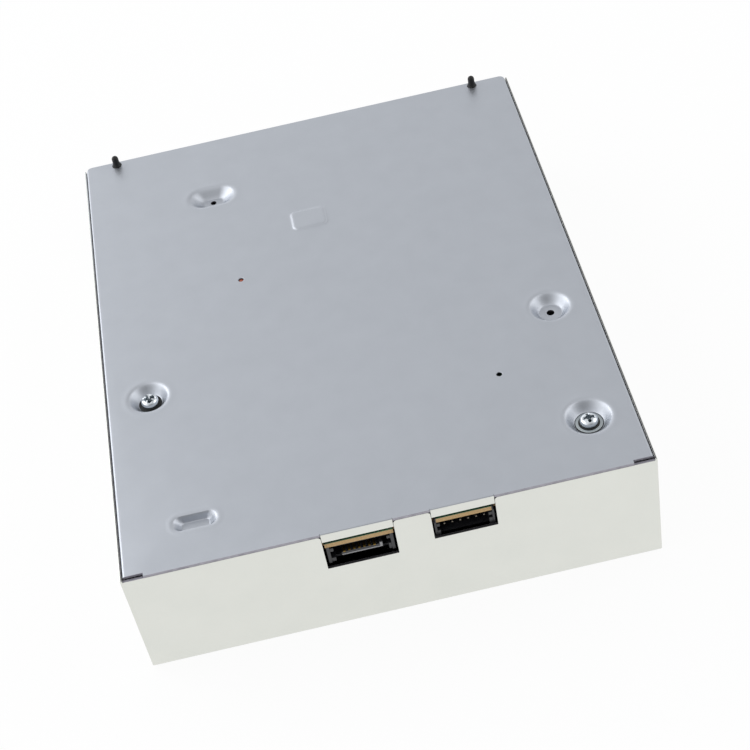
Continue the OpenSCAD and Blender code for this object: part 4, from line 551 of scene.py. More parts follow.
def oblong_dish():
    """Rings of the oblong front dish: half length, half width, corner radius and height."""
    a, b = 7.15, 4.4
    rings = [(a + grow, b + grow, b + grow, z) for grow, z in ((2.4, 0), (1.6, 0.01), (1.0, 0.04), (0.5, 0.04),
                                                               (0.15, -0.02))]
    rings += [(a - 4.25 * t, b - 2.75 * t, b - 3.0 * t, -OBLONG_DEEP * fall(t))
              for t in (0.07, 0.16, 0.28, 0.42, 0.57, 0.72, 0.85, 0.94, 1.0)]
    return rings + [(2.5, 1.5, 1.3, -OBLONG_DEEP), (1.1, 1.05, 1.0, -OBLONG_DEEP),
                    (0.88, 0.88, 0.88, -OBLONG_DEEP - 0.03)]


def strip_pressing():
    """Rings of the closed strip, which the die left softer at its lip than at its foot."""
    a, b = 5.7, 2.4
    rings = [(a + g, b + g, 2.2 + g, z) for g, z in ((2.0, 0), (1.4, 0.02), (0.95, 0.07), (0.55, 0.08), (0.2, 0.02))]
    rings += [(a - 2.3 * t, b - 0.95 * t, 2.2 - 1.3 * t, -STRIP_DEEP * fall(t))
              for t in (0.04, 0.1, 0.18, 0.28, 0.4, 0.53, 0.66, 0.78, 0.88, 0.95)]
    return rings + [(3.36, 1.42, 0.8, 0.01 - STRIP_DEEP), (3.1, 1.2, 0.6, -STRIP_DEEP)]


def pressings():
    """Every pressing of the cover: its centre, its rings, and whether it ends in a hole."""
    made = [((x, y), round_dish(r, floor, 1.45), True) for x, y, r, floor in SCREW_DISHES]
    made.append((FREE_DISH[:2], round_dish(*FREE_DISH[2:], 1.05), True))
    made += [(OBLONG_DISH, oblong_dish(), True), (STRIP, strip_pressing(), False)]
    rim = ((0.9, 0), (0.35, 0.0), (0.12, 0.02), (-0.06, 0.08), (-0.24, 0.18), (-0.42, 0.27), (-0.6, 0.33),
           (-0.85, 0.355), (-1.3, 0.36))
    made.append((PAD, [(5.2 + g, 4.2 + g, 1.6 + g, z) for g, z in rim], False))
    hole = rounds(((1.7, 0), (1.25, 0.01), (0.95, 0.03), (0.8, -0.02), (0.75, -0.1)))
    made += [(place, hole, True) for place in (PIN_HOLE, VENT)]
    return made + [(place, rounds(((1.9, 0), (1.42, 0))), True) for place in POSTS]


def curl(arc, radius):
    """How far out and down a flap has come after this much of its arc, and straight down after the arc."""
    turn = min(arc / radius, math.pi / 2)
    return radius * math.sin(turn), -radius * (1 - math.cos(turn)) - max(0, arc - radius * math.pi / 2)


def bent(u, v, z):
    """Carries a point of the flat blank, in millimetres, round the cover's bends."""
    flat, start = FLANGE_X - BEND_R, REAR_Y + TAB_R
    if abs(u) > flat:
        out, drop = curl(abs(u) - flat, BEND_R)
        return math.copysign(flat + out, u), v, drop
    if v < start and any(abs(u - x) < w / 2 - TAB_GAP / 2 for x, w in TABS):
        out, drop = curl(start - v, TAB_R)
        return u, start - out, drop
    return u, v, z


def scored(radius, length):
    """Where a flap needs lines for its bend: the arc in short steps, then its end."""
    rows = [radius * math.pi / 2 * k / BEND_STEPS for k in range(BEND_STEPS + 1)]
    return rows + [rows[-1] + length - radius]


def blank_outline():
    """The cover's outline before it is bent, and the lines that its bends need."""
    flat, corner = FLANGE_X - BEND_R, FLANGE_X - CORNER_R
    columns = [flat + row for row in scored(BEND_R, FLANGE_DEEP)]

    def front(u):
        over = min(bent(u, 0, 0)[0], FLANGE_X) - corner
        return FRONT_Y if over <= 0 else FRONT_Y - CORNER_R + math.sqrt(max(0, CORNER_R ** 2 - over ** 2))

    lines = []
    rear = REAR_Y + STEP_BACK
    step = FLANGE_X - STEP_W
    points = [(-u, rear) for u in reversed(columns)] + [(-step, rear), (-step, REAR_Y)]
    rows = scored(TAB_R, TAB_LOW)
    for x, w in TABS:
        left, right, root = x - w / 2, x + w / 2, REAR_Y + TAB_R
        points += [(left, REAR_Y), (left, root)]
        first = len(points)
        points += [(left + TAB_GAP, root - row) for row in rows]
        points += [(right - TAB_GAP, root - row) for row in reversed(rows)]
        last = len(points) - 1
        lines += [(first + k, last - k) for k in range(len(rows) - 1)]
        points += [(right, root), (right, REAR_Y)]
    points += [(step, REAR_Y), (step, rear)] + [(u, rear) for u in columns]
    around = [corner + (flat - corner) * k / 4 for k in range(4)]
    side = [(u, front(u)) for u in reversed(around + columns)]
    points += side + [(-u, v) for u, v in reversed(side)]
    places = {p: k for k, p in enumerate(points)}
    lines += [(places[(s * u, rear)], places[(s * u, front(u))]) for u in columns[:-1] for s in (-1, 1)]
    return points, lines


def inside(point, loop):
    """Whether a point is within a closed line: a ray from it crosses the line an odd number of times."""
    x, y = point
    odd = False
    for (x0, y0), (x1, y1) in zip(loop, loop[1:] + loop[:1]):
        if (y0 > y) != (y1 > y) and x < x0 + (y - y0) / (y1 - y0) * (x1 - x0):
            odd = not odd
    return odd


def build_cover():
    """The base cover: a flat blank with its pressings, bent at its sides and at its two tabs."""
    outline, edges = blank_outline()
    points = list(outline)
    heights = [0.0] * len(points)
    edges += [(k, (k + 1) % len(outline)) for k in range(len(outline))]
    holes = []
    for (x, y), rings, pierced in pressings():
        for a, b, corner, z in rings:
            loop = [(p, min(q, FRONT_Y - 0.1)) for p, q in ring(x, y, a, b, corner, 24 if a < 2 else 64)]
            first = len(points)
            points += loop
            heights += [z] * len(loop)
            edges += [(first + k, first + (k + 1) % len(loop)) for k in range(len(loop))]
        if pierced:
            holes.append(loop)
    made = delaunay_2d_cdt([Vector(p) for p in points], edges, [], 0, 1e-5)
    flat, faces, origin = made[0], made[2], made[3]
    corners = [bent(p.x, p.y, heights[ids[0]] if ids else 0.0) for p, ids in zip(flat, origin)]
    kept = []
    for face in faces:
        middle = sum((flat[k] for k in face), Vector((0, 0))) / len(face)
        if inside(middle, outline) and not any(inside(middle, loop) for loop in holes):
            kept.append(face)
    mesh = bpy.data.meshes.new("base_cover_pressed")
    mesh.from_pydata([(x * MM, y * MM, (z + TOP) * MM) for x, y, z in corners], [], kept)
    work = bmesh.new()
    work.from_mesh(mesh)
    bmesh.ops.delete(work, geom=[v for v in work.verts if not v.link_faces], context="VERTS")
    if sum(f.normal.z * f.calc_area() for f in work.faces) < 0:
        bmesh.ops.reverse_faces(work, faces=work.faces)
    work.to_mesh(mesh)
    work.free()
    obj = linked("base_cover_pressed", mesh)
    modified(obj, "SOLIDIFY", thickness=SHEET * MM, offset=-1, use_even_offset=True, use_quality_normals=True,
             material_offset_rim=1)
    mesh.materials.append(COVER)
    mesh.materials.append(CUT_PAINTED_LIGHT)
    made = frozen(obj)
    for face in made.polygons:
        # the outer faces of the tabs face the light like the casing's wall and take its lighter colour: painted light
        if face.center.y < (REAR_Y + 0.02) * MM and face.normal.y < -0.9 and face.material_index == 0:
            face.material_index = 2
    smoothed(made, 34)
    hand_over(obj, ["base_cover"], "cover_steel", COVER, CUT_PAINTED_LIGHT, CASING_PAINTED_LIT)
    wedge = [(FLANGE_X - 0.4, 2.4), (FLANGE_X, 2.4), (66.6, 3.9), (FLANGE_X - 0.4, 3.9)]
    hooks = [[(s * x, y + e * 2.35, TOP - d) for e in (-1, 1) for x, d in wedge]
             for s in (-1, 1) for y in (-45.3, 45.3)]
    hand_over(prisms("snap_hooks", hooks, 0.08), [], "cover_steel", COVER)


# ---- casing, screws and sockets
# How far out the side walls' inner faces are: in the solid, and as they are seen here
WALL_IN, WALL_IN_SEEN = 66.2, 66.5


def build_casing():
    """The folded casing: its sheared rims are bare steel, and their outer edges are rolled over.
    Its side walls are a little thinner than the solid's, on the inside, to let the cover's flange past."""
    mesh = merged("casing")
    mesh.materials.clear()
    for material in (CASING_PAINTED_LIT, EDGE, CUT_PAINTED_LIGHT, INSIDE_PAINTED_SHADE):
        mesh.materials.append(material)
    for corner in mesh.vertices:
        if abs(abs(corner.co.x) - WALL_IN * MM) < 0.02 * MM:
            corner.co.x = math.copysign(WALL_IN_SEEN * MM, corner.co.x)
    for face in mesh.polygons:
        n, (x, y, z) = face.normal, face.center / MM
        rim = (n.z > 0.9 and z > 30) or (n.y > 0.9 and y > 82.2)
        window = y < -82.4 and abs(n.y) < 0.3 and z > 20 and abs(x) < 40
        hatch = abs(x) > 66.1 and abs(n.x) < 0.3 and 25 < z < 34
        inner = (abs(n.x) > 0.9 and n.x * x < 0 and abs(x) < 66.6 or n.y > 0.9 and y < -82.3 or n.z > 0.9 and z < 3)
        # the casing's inside takes the darker zinc as painted shade, its rear rims the paler cut edge as painted light,
        # and its other rims, windows and hatches the darker sheared steel, partly as painted shade
        face.material_index = 2 if rim and y < -82 else 1 if rim or window or hatch else 3 if inner else 0
    weights = mesh.attributes.new("bevel_weight_edge", "FLOAT", "EDGE")
    normals = {}
    for face in mesh.polygons:
        for key in face.edge_keys:
            normals.setdefault(key, []).append(face.normal)
    for edge in mesh.edges:
        near = normals.get(tuple(sorted(edge.vertices)), [])
        if len(near) == 2 and near[0].angle(near[1]) >= math.radians(SHARP):
            ends = [mesh.vertices[k].co / MM for k in edge.vertices]
            outer = all(abs(e.x) > 66.9 and e.z > 35.3 for e in ends)
            weights.data[edge.index].value = 1.0 if outer else 0.22
    obj = linked("casing_folded", mesh)
    modified(obj, "BEVEL", width=0.32 * MM, segments=3, limit_method="WEIGHT", material=0)
    hand_over(settled(obj), ["casing"], "casing_steel", CASING_PAINTED_LIT, EDGE, CUT_PAINTED_LIGHT, INSIDE_PAINTED_SHADE)


# Radius and height along a screw's outline, from the middle of its head down to its tip
HEAD = ((0.0, 1.9), (0.4, 1.9), (0.8, 1.87), (1.15, 1.82), (1.5, 1.72), (1.8, 1.58), (2.05, 1.38), (2.22, 1.14),
        (2.32, 0.85), (2.35, 0.5), (2.33, 0.12), (2.2, 0.0), (1.2, 0.0), (1.2, -4.0), (0, -4.4))
RECESS_R, RECESS_DEEP = 1.6, 1.15
BOARD_SCREWS = [(x, y) for x in (-52, 44.333) for y in (-34.3, -64.3)]
# Heights of the faces that the screws' heads sit on
CASE_SEAT, BOARD_SEAT = 33.62, 31.2


def screw_head(work, x, y, seat, turn):
    """A pan head with a cross recess: a domed top whose four arms sink to a cone."""
    steps = 64
    rows = []
    for k, (r, z) in enumerate(HEAD):
        row = []
        for a in (2 * math.pi * j / steps for j in range(steps if r else 1)):
            arm = max(0.0, 1 - abs(math.sin(2 * (a + turn))) / 0.7) if k else 1.0
            sink = 0.0
            if r < RECESS_R:
                sink = (1 - (r / RECESS_R) ** 3) * RECESS_DEEP * min(1.0, arm * 2.2)
                if r < 0.5:
                    sink = max(sink, 1.1 - r * 0.6)
            row.append(work.verts.new(((x + r * math.cos(a + turn)) * MM, (y + r * math.sin(a + turn)) * MM,
                                       (seat + z - sink) * MM)))
        rows.append(row)
    for level, j, face in skin(work, rows):
        arm = abs(math.sin(2 * (2 * math.pi * (j + 0.5) / steps))) < 0.5
        # faces in the cross recess take the darker zinc: painted shade
        face.material_index = 1 if level < 4 and (arm or level < 2) else 0


def build_screws():
    """Two case screws in the dishes with their washers, and the four that hold the board."""
    work = bmesh.new()
    case = [(x, y, CASE_SEAT, turn) for (x, y, _, _), turn in zip(SCREW_DISHES, (0.5, 0.15))]
    for place in case + [(x, y, BOARD_SEAT, 0.3 * k) for k, (x, y) in enumerate(BOARD_SCREWS)]:
        screw_head(work, *place)
    hand_over(shaped(work, "cross_recess_screws", 40), ["case_screws"], "screw_zinc", SCREW, RECESS)
    work = bmesh.new()
    # the left screw sits on a plain black washer, standing for the black moulding seen through the dish's floor and for
    # painted shadow under its head; the right one has a pale ring with a thin black edge, round a black ring that is
    # painted shadow in the gap under its head
    for (x, y, seat, _), outer, root, inner in zip(case, (3.12, 3.68), (2.55, 2.75), (2.55, 3.5)):
        low, mid = seat - 0.32, seat - 0.2
        lathe(work, x, y, [(1.3, low), (outer, low), (outer, mid - 0.03), (outer - 0.05, mid), (1.3, mid), (1.3, low)])
        lathe(work, x, y, [(1.3, mid + 0.005), (root, mid + 0.005), (root, seat - 0.06), (root - 0.05, seat - 0.005),
                           (1.3, seat - 0.005), (1.3, mid + 0.005)])
        if root < inner:
            lathe(work, x, y, [(root + 0.01, mid + 0.005), (inner, mid + 0.005), (inner, mid + 0.03),
                               (inner - 0.06, mid + 0.06), (root + 0.01, mid + 0.06), (root + 0.01, mid + 0.005)])
    x, y, seat, _ = case[1]
    hand_over(shaped(work, "black_washers_painted_shadow", 50,
                     lambda at: at.z > seat - 0.197 and 2.78 < math.hypot(at.x - x, at.y - y) < 3.6),
              [], "frame_plastic", FRAME, WASHER)
    work = bmesh.new()
    for x, y in POSTS:
        lathe(work, x, y, [(0.9, 34.9), (1.5, 34.9), (1.5, 35.8), (1.44, 35.95), (1.3, 36.15), (1.14, 36.5),
                           (1.04, 37.0), (0.98, 37.3), (0.9, 37.3), (0.9, 34.9)])
    lathe(work, *PIN_HOLE, [(0, 34.0), (0.7, 34.0), (0.7, 35.35), (0.4, 35.5), (0, 35.52)], 24)
    hand_over(shaped(work, "post_roots", 50, lambda at: abs(at.x - PIN_HOLE[0]) < 3), [], "frame_plastic", FRAME, PIN)


# Places across the drive of the data contacts and of the power pins
PITCH = 1.27
CONTACTS = [-12.45 + PITCH * k for k in range(7)]
PINS = [18.1 + (k - 2.5) * 2.0 for k in range(6)]


def build_sockets():
    """The two sockets at the board's edge, with their contacts."""
    left, right, front, back = -16.75, 0.15, -82.4, -72.8
    shell = [
        (left, front + 0.5, 6.2, right, back, 7.0), (left, front + 1.6, 11.5, right, back, 12.2),
        (left, front, 6.2, -15.9, back, 12.2), (-0.7, front, 6.2, right, back, 12.2),
        (left, back - 0.8, 6.2, right, back, 12.2),
        (-15.9, front + 0.1, 7.0, -15.0, back, 8.2), (-15.9, front + 0.1, 10.6, -14.8, back, 11.9),
        (-1.6, front + 0.1, 7.0, -0.7, back, 8.0), (-1.4, front + 0.1, 9.8, -0.7, back, 11.9),
    ]
    hand_over(blocks("data_socket_shell", shell, 0.09), ["data_connector"], "connector_black", SOCKET)
    tip, start = -82.0, -13.2
    tongue = [(start, tip, 9.55, -2.8, back, 10.6), (-3.6, tip, 8.8, -2.8, back, 10.6)]
    tongue += [(start + PITCH * k + 1.1, -81.6, 9.35, start + PITCH * k + 1.35, -76, 9.6) for k in range(7)]
    hand_over(blocks("data_tongue", tongue, 0.07), [], "connector_black", SOCKET)
    nose = [(-13.15, tip - 0.12, 10.2, -2.85, tip + 0.05, 10.58), (-3.5, tip - 0.12, 9.0, -2.86, tip + 0.05, 10.3)]
    hand_over(blocks("data_tongue_nose", nose, 0.06), [], "connector_black", NOSE)
    contacts = []
    for x in CONTACTS:
        end = 0.12 if x in (CONTACTS[0], CONTACTS[-1]) else 0
        contacts.append((x - 0.3, -81.75, 9.32, x + 0.3, -75.0, 9.56))
        contacts.append((x - 0.3, -81.92 - end, 9.4 - end, x + 0.3, -81.7, 9.72))
    hand_over(blocks("data_contact_strips", contacts, 0.06), ["data_contacts"], "contact_gold", GOLD_PAINTED_SHADE)
    left, right, deep = 10.5, 25.7, back + 0.2
    shell = [
        (left, front + 0.6, 6.2, right, deep, 6.8), (left, front + 1.2, 11.0, right, deep, 11.6),
        (left, front, 4.6, 11.1, deep, 11.6), (25.1, front, 4.6, right, deep, 11.6),
        (left, back - 0.6, 6.2, right, deep, 11.6),
        (11.1, front, 6.8, 11.9, back, 7.9), (11.1, front, 9.3, 11.9, back, 11.0),
        (24.2, front, 6.8, 25.1, back, 7.9), (24.2, front, 8.9, 25.1, back, 11.0),
        (left, front, 4.6, 10.9, back, 6.2), (25.3, front, 4.6, right, back, 6.2),
    ]
    hand_over(blocks("power_socket_shell", shell, 0.09), ["power_connector"], "connector_black", SOCKET)
    pins = []
    for x in PINS:
        pins.append((x - 0.2, -82.1, 7.35, x + 0.2, back - 0.4, 7.75))
        pins.append((x - 0.25, -73.6, 4.4, x + 0.25, -73.1, 7.6))
    hand_over(blocks("power_pin_row", pins, 0.08), ["power_pins"], "tin_pin", TIN_PAINTED_SHADE)


# ---- what repeats or follows a rule
def rule(name, *sizes):
    """A tree that grows a mesh on points; its sizes are named inputs. Also returns what it is given."""
    tree = bpy.data.node_groups.new(name, "GeometryNodeTree")
    sockets = [("Points", "INPUT", "NodeSocketGeometry")] + [(label, "INPUT", "NodeSocketFloat") for label in sizes]
    sockets += [("Finish", "INPUT", "NodeSocketMaterial"), ("Mesh", "OUTPUT", "NodeSocketGeometry")]
    for label, way, kind in sockets:
        tree.interface.new_socket(label, in_out=way, socket_type=kind)
    return tree, add(tree, "NodeGroupInput").outputs


def planted(tree, given, *parts):
    """Ends a tree: its parts on every point, turned as the point says, as real copies in one finish."""
    both = add(tree, "GeometryNodeJoinGeometry")
    for part in parts:
        tree.links.new(part, both.inputs[0])
    turn = add(tree, "GeometryNodeInputNamedAttribute", {"data_type": "FLOAT_VECTOR"}, Name="turn").outputs[0]
    turn = add(tree, "FunctionNodeEulerToRotation", Euler=turn).outputs[0]
    many = add(tree, "GeometryNodeInstanceOnPoints", Points=given["Points"], Instance=both.outputs[0],
               Rotation=turn).outputs[0]
    real = add(tree, "GeometryNodeRealizeInstances", Geometry=many).outputs[0]
    done = add(tree, "GeometryNodeSetMaterial", Geometry=real, Material=given["Finish"]).outputs[0]
    add(tree, "NodeGroupOutput", Mesh=done)
    return tree


def moved(tree, part, x=0.0, y=0.0, z=0.0):
    """A part shifted by these lengths."""
    return add(tree, "GeometryNodeTransform", Geometry=part, Translation=together(tree, x, y, z)).outputs[0]


def bar(tree, length, width, height, **place):
    """A block about its own middle, moved to its place."""
    size = together(tree, length, width, height)
    return moved(tree, add(tree, "GeometryNodeMeshCube", Size=size).outputs[0], **place)


def turned(tree, radius, depth, start, sides=32):
    """A turned length about the upright, from this height on."""
    made = add(tree, "GeometryNodeMeshCylinder", Vertices=sides, Radius=radius, Depth=depth).outputs[0]
    return moved(tree, made, z=reckon(tree, "ADD", start, reckon(tree, "MULTIPLY", depth, 0.5)))


def grown(name, tree, places, finish, **sizes):
    """Runs a rule with sizes in millimetres, and keeps the plain mesh. Its places are x, y and depth in millimetres,
    then degrees about the upright, or about all three axes."""
    mesh = bpy.data.meshes.new(name)
    mesh.from_pydata([(p[0] * MM, p[1] * MM, (TOP - p[2]) * MM) for p in places], [], [])
    turn = mesh.attributes.new("turn", "FLOAT_VECTOR", "POINT")
    for at, p in enumerate(places):
        turn.data[at].vector = [math.radians(a) for a in (p[3:] if len(p) == 6 else (0, 0) + tuple(p[3:]))]
    obj = linked(name, mesh)
    run = modified(obj, "NODES", node_group=tree)
    for socket in tree.interface.items_tree:
        if socket.name in sizes:
            run[socket.identifier] = float(sizes[socket.name]) * MM
        elif socket.name == "Finish":
            run[socket.identifier] = finish
    frozen(obj)
    return obj


def leg_rule():
    """A gull-wing leg: out of the chip's side, down to the board and out along it."""
    tree, given = rule("gull_wing_leg", "Reach", "Width", "Drop", "Sheet")
    reach, width, drop, sheet = (given[k] for k in ("Reach", "Width", "Drop", "Sheet"))
    knee = reckon(tree, "MULTIPLY", reach, 0.42)
    toe = reckon(tree, "SUBTRACT", reach, knee)
    return planted(
        tree, given,
        bar(tree, knee, width, sheet, x=reckon(tree, "MULTIPLY", knee, 0.45)),
        bar(tree, sheet, width, reckon(tree, "ADD", drop, sheet), x=knee, z=reckon(tree, "MULTIPLY", drop, 0.5)),
        bar(tree, toe, width, sheet, x=reckon(tree, "ADD", knee, reckon(tree, "MULTIPLY", toe, 0.45)), z=drop))


def block_rule():
    """The body of a small board part, between its ends."""
    tree, given = rule("small_part_body", "Length", "Width", "Height")
    half = reckon(tree, "MULTIPLY", given["Height"], -0.5)
    return planted(tree, given, bar(tree, given["Length"], given["Width"], given["Height"], z=half))


def ends_rule():
    """The two tinned ends of a small board part, a little fatter than its body."""
    tree, given = rule("small_part_ends", "Length", "Width", "Height", "Cap")
    out = reckon(tree, "MULTIPLY", reckon(tree, "SUBTRACT", given["Length"], given["Cap"]), 0.5)
    half = reckon(tree, "MULTIPLY", given["Height"], -0.5)
    return planted(tree, given, *[bar(tree, given["Cap"], given["Width"], given["Height"],
                                      x=reckon(tree, "MULTIPLY", out, s), z=half) for s in (-1.0, 1.0)])


def dome_rule():
    """A drop of solder: a low dome."""
    tree, given = rule("solder_dome", "Radius", "Height")
    ball = add(tree, "GeometryNodeMeshUVSphere", Segments=12, Rings=6, Radius=given["Radius"]).outputs[0]
    low = together(tree, 1.0, 1.0, reckon(tree, "DIVIDE", given["Height"], given["Radius"]))
    return planted(tree, given, add(tree, "GeometryNodeTransform", Geometry=ball, Scale=low).outputs[0])


def disc_rule():
    """A low round mark, such as an ejector pin leaves in a moulding."""
    tree, given = rule("round_mark", "Radius", "Height")
    return planted(tree, given, turned(tree, given["Radius"], given["Height"], 0.0, 20))


def thread_rule():
    """A lead screw: a core with one ridge wound round it, a collar at either end and a thin journal."""
    tree, given = rule("lead_screw_thread", "Length", "Core", "Crest", "Lead", "Collar", "Journal", "Neck")
    length, core, crest, collar = (given[k] for k in ("Length", "Core", "Crest", "Collar"))
    run = reckon(tree, "SUBTRACT", length, collar)
    spiral = add(tree, "GeometryNodeCurveSpiral", _0=20, _1=reckon(tree, "DIVIDE", run, given["Lead"]), _2=core,
                 _3=core, _4=run).outputs[0]
    tooth = add(tree, "GeometryNodeCurvePrimitiveCircle", _0=8, Radius=reckon(tree, "SUBTRACT", crest, core)).outputs[0]
    ridge = add(tree, "GeometryNodeCurveToMesh", Curve=spiral, Profile_Curve=tooth, Fill_Caps=True).outputs[0]
    return planted(
        tree, given, moved(tree, ridge, z=reckon(tree, "MULTIPLY", collar, 0.5)), turned(tree, core, length, 0.0),
        turned(tree, crest, collar, 0.0), turned(tree, crest, collar, run),
        turned(tree, given["Neck"], given["Journal"], length))


# node, x, y, width, length, and the pitch of its legs
CHIPS = (("controller_chip", -6, -56.3, 20, 20, 1.0), ("driver_chip", -32, -54.3, 12, 12, 0.95),
         ("memory_chip", 22, -57.3, 8, 12, 0.95))
# Depths of a chip's two faces and of the waist that its legs come out of, and how far its sides lean in
CHIP_NEAR, CHIP_WAIST, CHIP_FAR, CHIP_LEAN = 6.24, 6.92, 7.6, 0.22
# Depths of the board's two faces
BOARD_NEAR, BOARD_FAR = 4.6, 6.2


def leg_places(x, y, w, l, pitch):
    """Places of a chip's legs: along its two long sides, or all round where it is square."""
    sides = ((1, 90), (-1, -90)) + (((1, 0), (-1, 180)) if w == l else ())
    for sign, turn in sides:
        along = turn in (90, -90)
        count = int(((w if along else l) - 1.6) / pitch)
        for k in range(count + 1):
            step = (k - count / 2) * pitch
            place = (x + step, y + sign * l / 2) if along else (x + sign * w / 2, y + step)
            yield (*place, CHIP_WAIST, turn)


def small_part_places():
    """Two kinds of small parts on a loose grid, clear of everything else on the board."""
    draw = random.Random(11)
    taken = [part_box(n) for n in ("controller_chip", "driver_chip", "memory_chip", "flex_sockets", "board_capacitors",
                                 "data_connector", "power_connector", "pickup_flex")]
    taken = [[c / MM for c in (a[0], a[1], b[0], b[1])] for a, b in taken]
    taken += [(x - 3, y - 3, x + 3, y + 3) for x, y in BOARD_SCREWS]
    margin, tall, flat = 1.9, [], []
    for row in range(15):
        for column in range(38):
            x, y = -54.5 + 2.65 * column, -70.5 + 2.6 * row
            chance, kind = draw.random(), draw.random()
            if chance < 0.42 and not any(x0 - margin < x < x1 + margin and y0 - margin < y < y1 + margin
                                         for x0, y0, x1, y1 in taken):
                (tall if kind < 0.5 else flat).append((x, y, BOARD_FAR, 90 if row % 3 else 0))
    return tall, flat


def build_board_parts():
    """Three chips with their legs, the small parts round them, and the solder on the board's other face."""
    bodies = []
    for _, x, y, w, l, _ in CHIPS:
        for rows in (((CHIP_WAIST, 0), (CHIP_FAR, CHIP_LEAN)), ((CHIP_NEAR, CHIP_LEAN), (CHIP_WAIST, 0))):
            bodies.append([(x + s * (w / 2 - lean), y + t * (l / 2 - lean), TOP - d) for d, lean in rows
                           for s, t in ((-1, -1), (1, -1), (1, 1), (-1, 1))])
    hand_over(prisms("moulded_chips", bodies, 0.06), [c[0] for c in CHIPS], "chip_black", CHIP)
    legs = [place for chip in CHIPS for place in leg_places(*chip[1:])]
    dots = [(x - w / 2 + 1.6, y - l / 2 + 1.6, CHIP_FAR + 0.06, 0) for _, x, y, w, l, _ in CHIPS]
    tall, flat = small_part_places()
    drops = [(-45 + s * 1.0, y) for y in (-41.3, -48.3, -55.3) for s in (-1, 1)]
    drops += [(x, -73.35) for x in PINS] + [(x, -73.6) for x in CONTACTS]
    drops += [(-9 + 1.5 * k, -32.4 + 1.2 * (k % 2)) for k in range(13)] + [(-35 + 2.0 * k, -32.4) for k in range(6)]
    drops = [(x, y, BOARD_NEAR, 0) for x, y in drops]
    size = {"Length": 1.6, "Width": 0.8}
    inner = {"Length": 1.0, "Width": 0.76}
    for name, tree, places, slot, finish, sizes in (
            ("chip_legs", leg_rule(), legs, "tin_pin", TIN, dict(Reach=1.1, Width=0.4, Drop=0.62, Sheet=0.14)),
            ("chip_corner_dots", disc_rule(), dots, "chip_black", GLAZE, dict(Radius=0.55, Height=0.08)),
            ("ceramic_capacitors", block_rule(), tall, "chip_black", CERAMIC, dict(inner, Height=0.76)),
            ("film_resistors", block_rule(), flat, "chip_black", GLAZE, dict(inner, Height=0.42)),
            ("capacitor_ends", ends_rule(), tall, "tin_pin", TIN, dict(size, Height=0.8, Cap=0.32)),
            ("resistor_ends", ends_rule(), flat, "tin_pin", TIN, dict(size, Height=0.45, Cap=0.3)),
            ("solder_domes", dome_rule(), drops, "tin_pin", SOLDER, dict(Radius=0.62, Height=0.4))):
        hand_over(grown(name, tree, places, finish, **sizes), [], slot, finish)


def build_lead_screw():
    """The sled's lead screw, whose ridge climbs 3 mm a turn."""
    place = [(-27, -57.1, 13.2, -90, 0, 0)]
    obj = grown("lead_screw_threaded", thread_rule(), place, ROD, Length=64.6, Core=1.15, Crest=1.4, Lead=3.0,
                Collar=1.4, Journal=1.6, Neck=1.0)
    smoothed(obj.data, 40)
    hand_over(obj, ["lead_screw"], SLOTS["lead_screw"], ROD, body=BODY_OF["lead_screw"])


def build_motor():
    """The loading motor: a drawn can with a pressed ring in its lid, a rolled waist and a boss for its shaft."""
    outline = [(0, 34.0), (2.2, 34.0), (2.5, 33.85), (2.9, 33.62), (8.2, 33.62), (8.6, 33.8), (8.9, 34.0), (11.1, 34.0),
               (11.6, 33.9), (11.95, 33.65), (12.15, 33.2), (12.2, 32.7), (12.2, 25.6), (12.05, 25.45), (11.95, 25.2),
               (12.05, 24.95), (12.2, 24.8), (12.2, 22.3), (12.1, 22.08), (11.9, 22.0), (3.0, 22.0), (3.0, 21.15),
               (2.85, 21.0), (1.15, 21.0), (1.05, 21.1), (1.05, 21.9), (0, 21.9)]
    work = bmesh.new()
    lathe(work, 24, 63, outline, 72)
    hand_over(shaped(work, "loading_motor_can", 50), ["loading_motor"], SLOTS["loading_motor"], STEEL)


def build_flat_cable():
    """The pickup's flat cable: it leaves its socket, runs over the sled and folds back under itself."""
    start, high, loop_r, half_w, half_t = -30.3, 4.35, 2.95, 9, 0.15
    path = [(start, 6.9), (start + 0.5, 6.72)]
    path += [(start + 6 * t, 6.9 - 2.55 * t) for t in (0.15, 0.3, 0.45, 0.6, 0.75, 0.88)]
    path += [(-24.5, 4.46), (-24.0, 4.37)] + [(y, high) for y in range(-23, 0, 2)]
    path += [(loop_r * math.sin(a), high + loop_r * (1 - math.cos(a))) for a in (math.pi * k / 20 for k in range(21))]
    path += [(-y, high + 2 * loop_r) for y in range(1, 19)]
    work = bmesh.new()
    rows = []
    for k, (y, d) in enumerate(path):
        (y0, d0), (y1, d1) = path[max(0, k - 1)], path[min(len(path) - 1, k + 1)]
        run = math.hypot(y1 - y0, d1 - d0)
        out = ((d1 - d0) / run * half_t, -(y1 - y0) / run * half_t)
        rows.append([work.verts.new((x * MM, (y + s * out[0]) * MM, (TOP - d - s * out[1]) * MM))
                     for x, s in ((-half_w, 1), (half_w, 1), (half_w, -1), (-half_w, -1))])
    skin(work, rows)
    work.faces.new(rows[0][::-1])
    work.faces.new(rows[-1])
    cable = shaped(work, "flat_cable", 40)
    hand_over(cable, ["pickup_flex"], "flex_polyimide", FILM)
    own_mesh(cable)


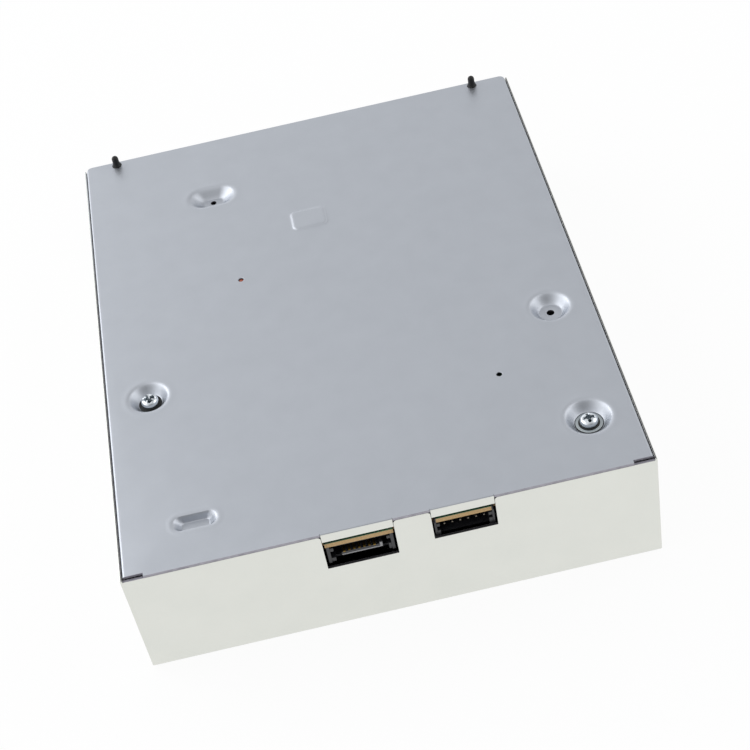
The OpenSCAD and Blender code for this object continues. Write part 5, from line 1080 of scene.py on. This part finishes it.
def build_marks():
    """The round marks of the ejector pins on the mouldings' flat places, found by probing from above."""
    tree = disc_rule()
    for node, material, step, radius in (("tray", TRAY, 13.0, 1.6), ("loader_frame", FRAME, 14.5, 1.5)):
        low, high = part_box(node)
        around = [(0, 0)] + [(2.3 * math.cos(a), 2.3 * math.sin(a)) for a in (math.pi * k / 3 for k in range(6))]
        found = []
        for row in range(int((high[1] - low[1]) / (step * MM))):
            for column in range(int((high[0] - low[0]) / (step * MM)) + 1):
                x, y = low[0] + (column + 0.4) * step * MM, low[1] + (row + 0.6) * step * MM
                hits = [MADE[node].ray_cast(Vector((x + u * MM, y + v * MM, 0.06)), Vector((0, 0, -1)))
                        for u, v in around]
                heights = [h[1].z for h in hits if h[0]]
                if len(heights) == len(around) and max(heights) - min(heights) < 0.02 * MM:
                    found.append((x / MM, y / MM, TOP - heights[0] / MM + 0.02, 0))
        marks = grown(node + "_ejector_marks", tree, found, material, Radius=radius, Height=0.07)
        hand_over(marks, [], SLOTS[node], material, body=BODY_OF[node])


# Each finish with its nodes, and the radius of their broken edges in millimetres
DRESS = (
    (FRAME, {"loader_frame": 0.12, "traverse_holder": 0.15}), (BOARD, {"circuit_board": 0}),
    (STEEL, {"clamp_bridge": 0.08, "traverse_plate": 0.1, "spindle_base": 0.1, "sled_motor": 0.2,
             "spindle_rotor": 0.15, "hub_ring": 0.06, "actuator_yoke": 0.1, "clamper_plate": 0.1}),
    (SCREW, {"bridge_screws": 0.05, "motor_screws": 0.05, "damper_screws": 0.05}),
    (TRAY, {"tray": 0.15, "tray_front": 0.2}), (NYLON, {"tray_switch": 0.1}), (IVORY, {"flex_sockets": 0.12}),
    (RUBBER, {"drive_belt": 0.1, "rubber_dampers": 0.15, "turntable_pad": 0.08}), (CAN, {"board_capacitors": 0.3}),
    (ACETAL, {"motor_pulley": 0.08, "belt_gear": 0.06, "idler_gear": 0.05, "drive_gear": 0.05, "cam_slider": 0.15,
              "cam_gear": 0.05, "switch_lever": 0.12, "screw_follower": 0.12}),
    (COPPER, {"spindle_stator": 0.05}), (ROD, {"guide_rods": 0.15}), (TURN, {"turntable": 0.1}),
    (CAST, {"pickup_body": 0.15}), (GOLD, {"laser_unit": 0.06}), (HOLDER, {"lens_holder": 0.12}),
    (LENS, {"objective_lens": 0}), (CLAMP, {"clamper_puck": 0.15}),
    (MAGNET, {"actuator_magnets": 0.1, "clamper_magnet": 0.15}),
)
# Nodes whose many-sided faces are split before their edges are broken
SPLIT = ("traverse_plate", "tray_front")
MADE = {}
for material, widths in DRESS:
    for node, width in widths.items():
        MADE[node] = rounded(merged(node, node in SPLIT), node + "_finished", width)
        hand_over(MADE[node], [node], SLOTS[node], material, body=BODY_OF[node])


build_cover()
build_casing()
build_screws()
build_sockets()
build_board_parts()
build_lead_screw()
build_motor()
build_flat_cable()
build_marks()
scene = bpy.context.scene
scene.view_settings.view_transform = "Standard"
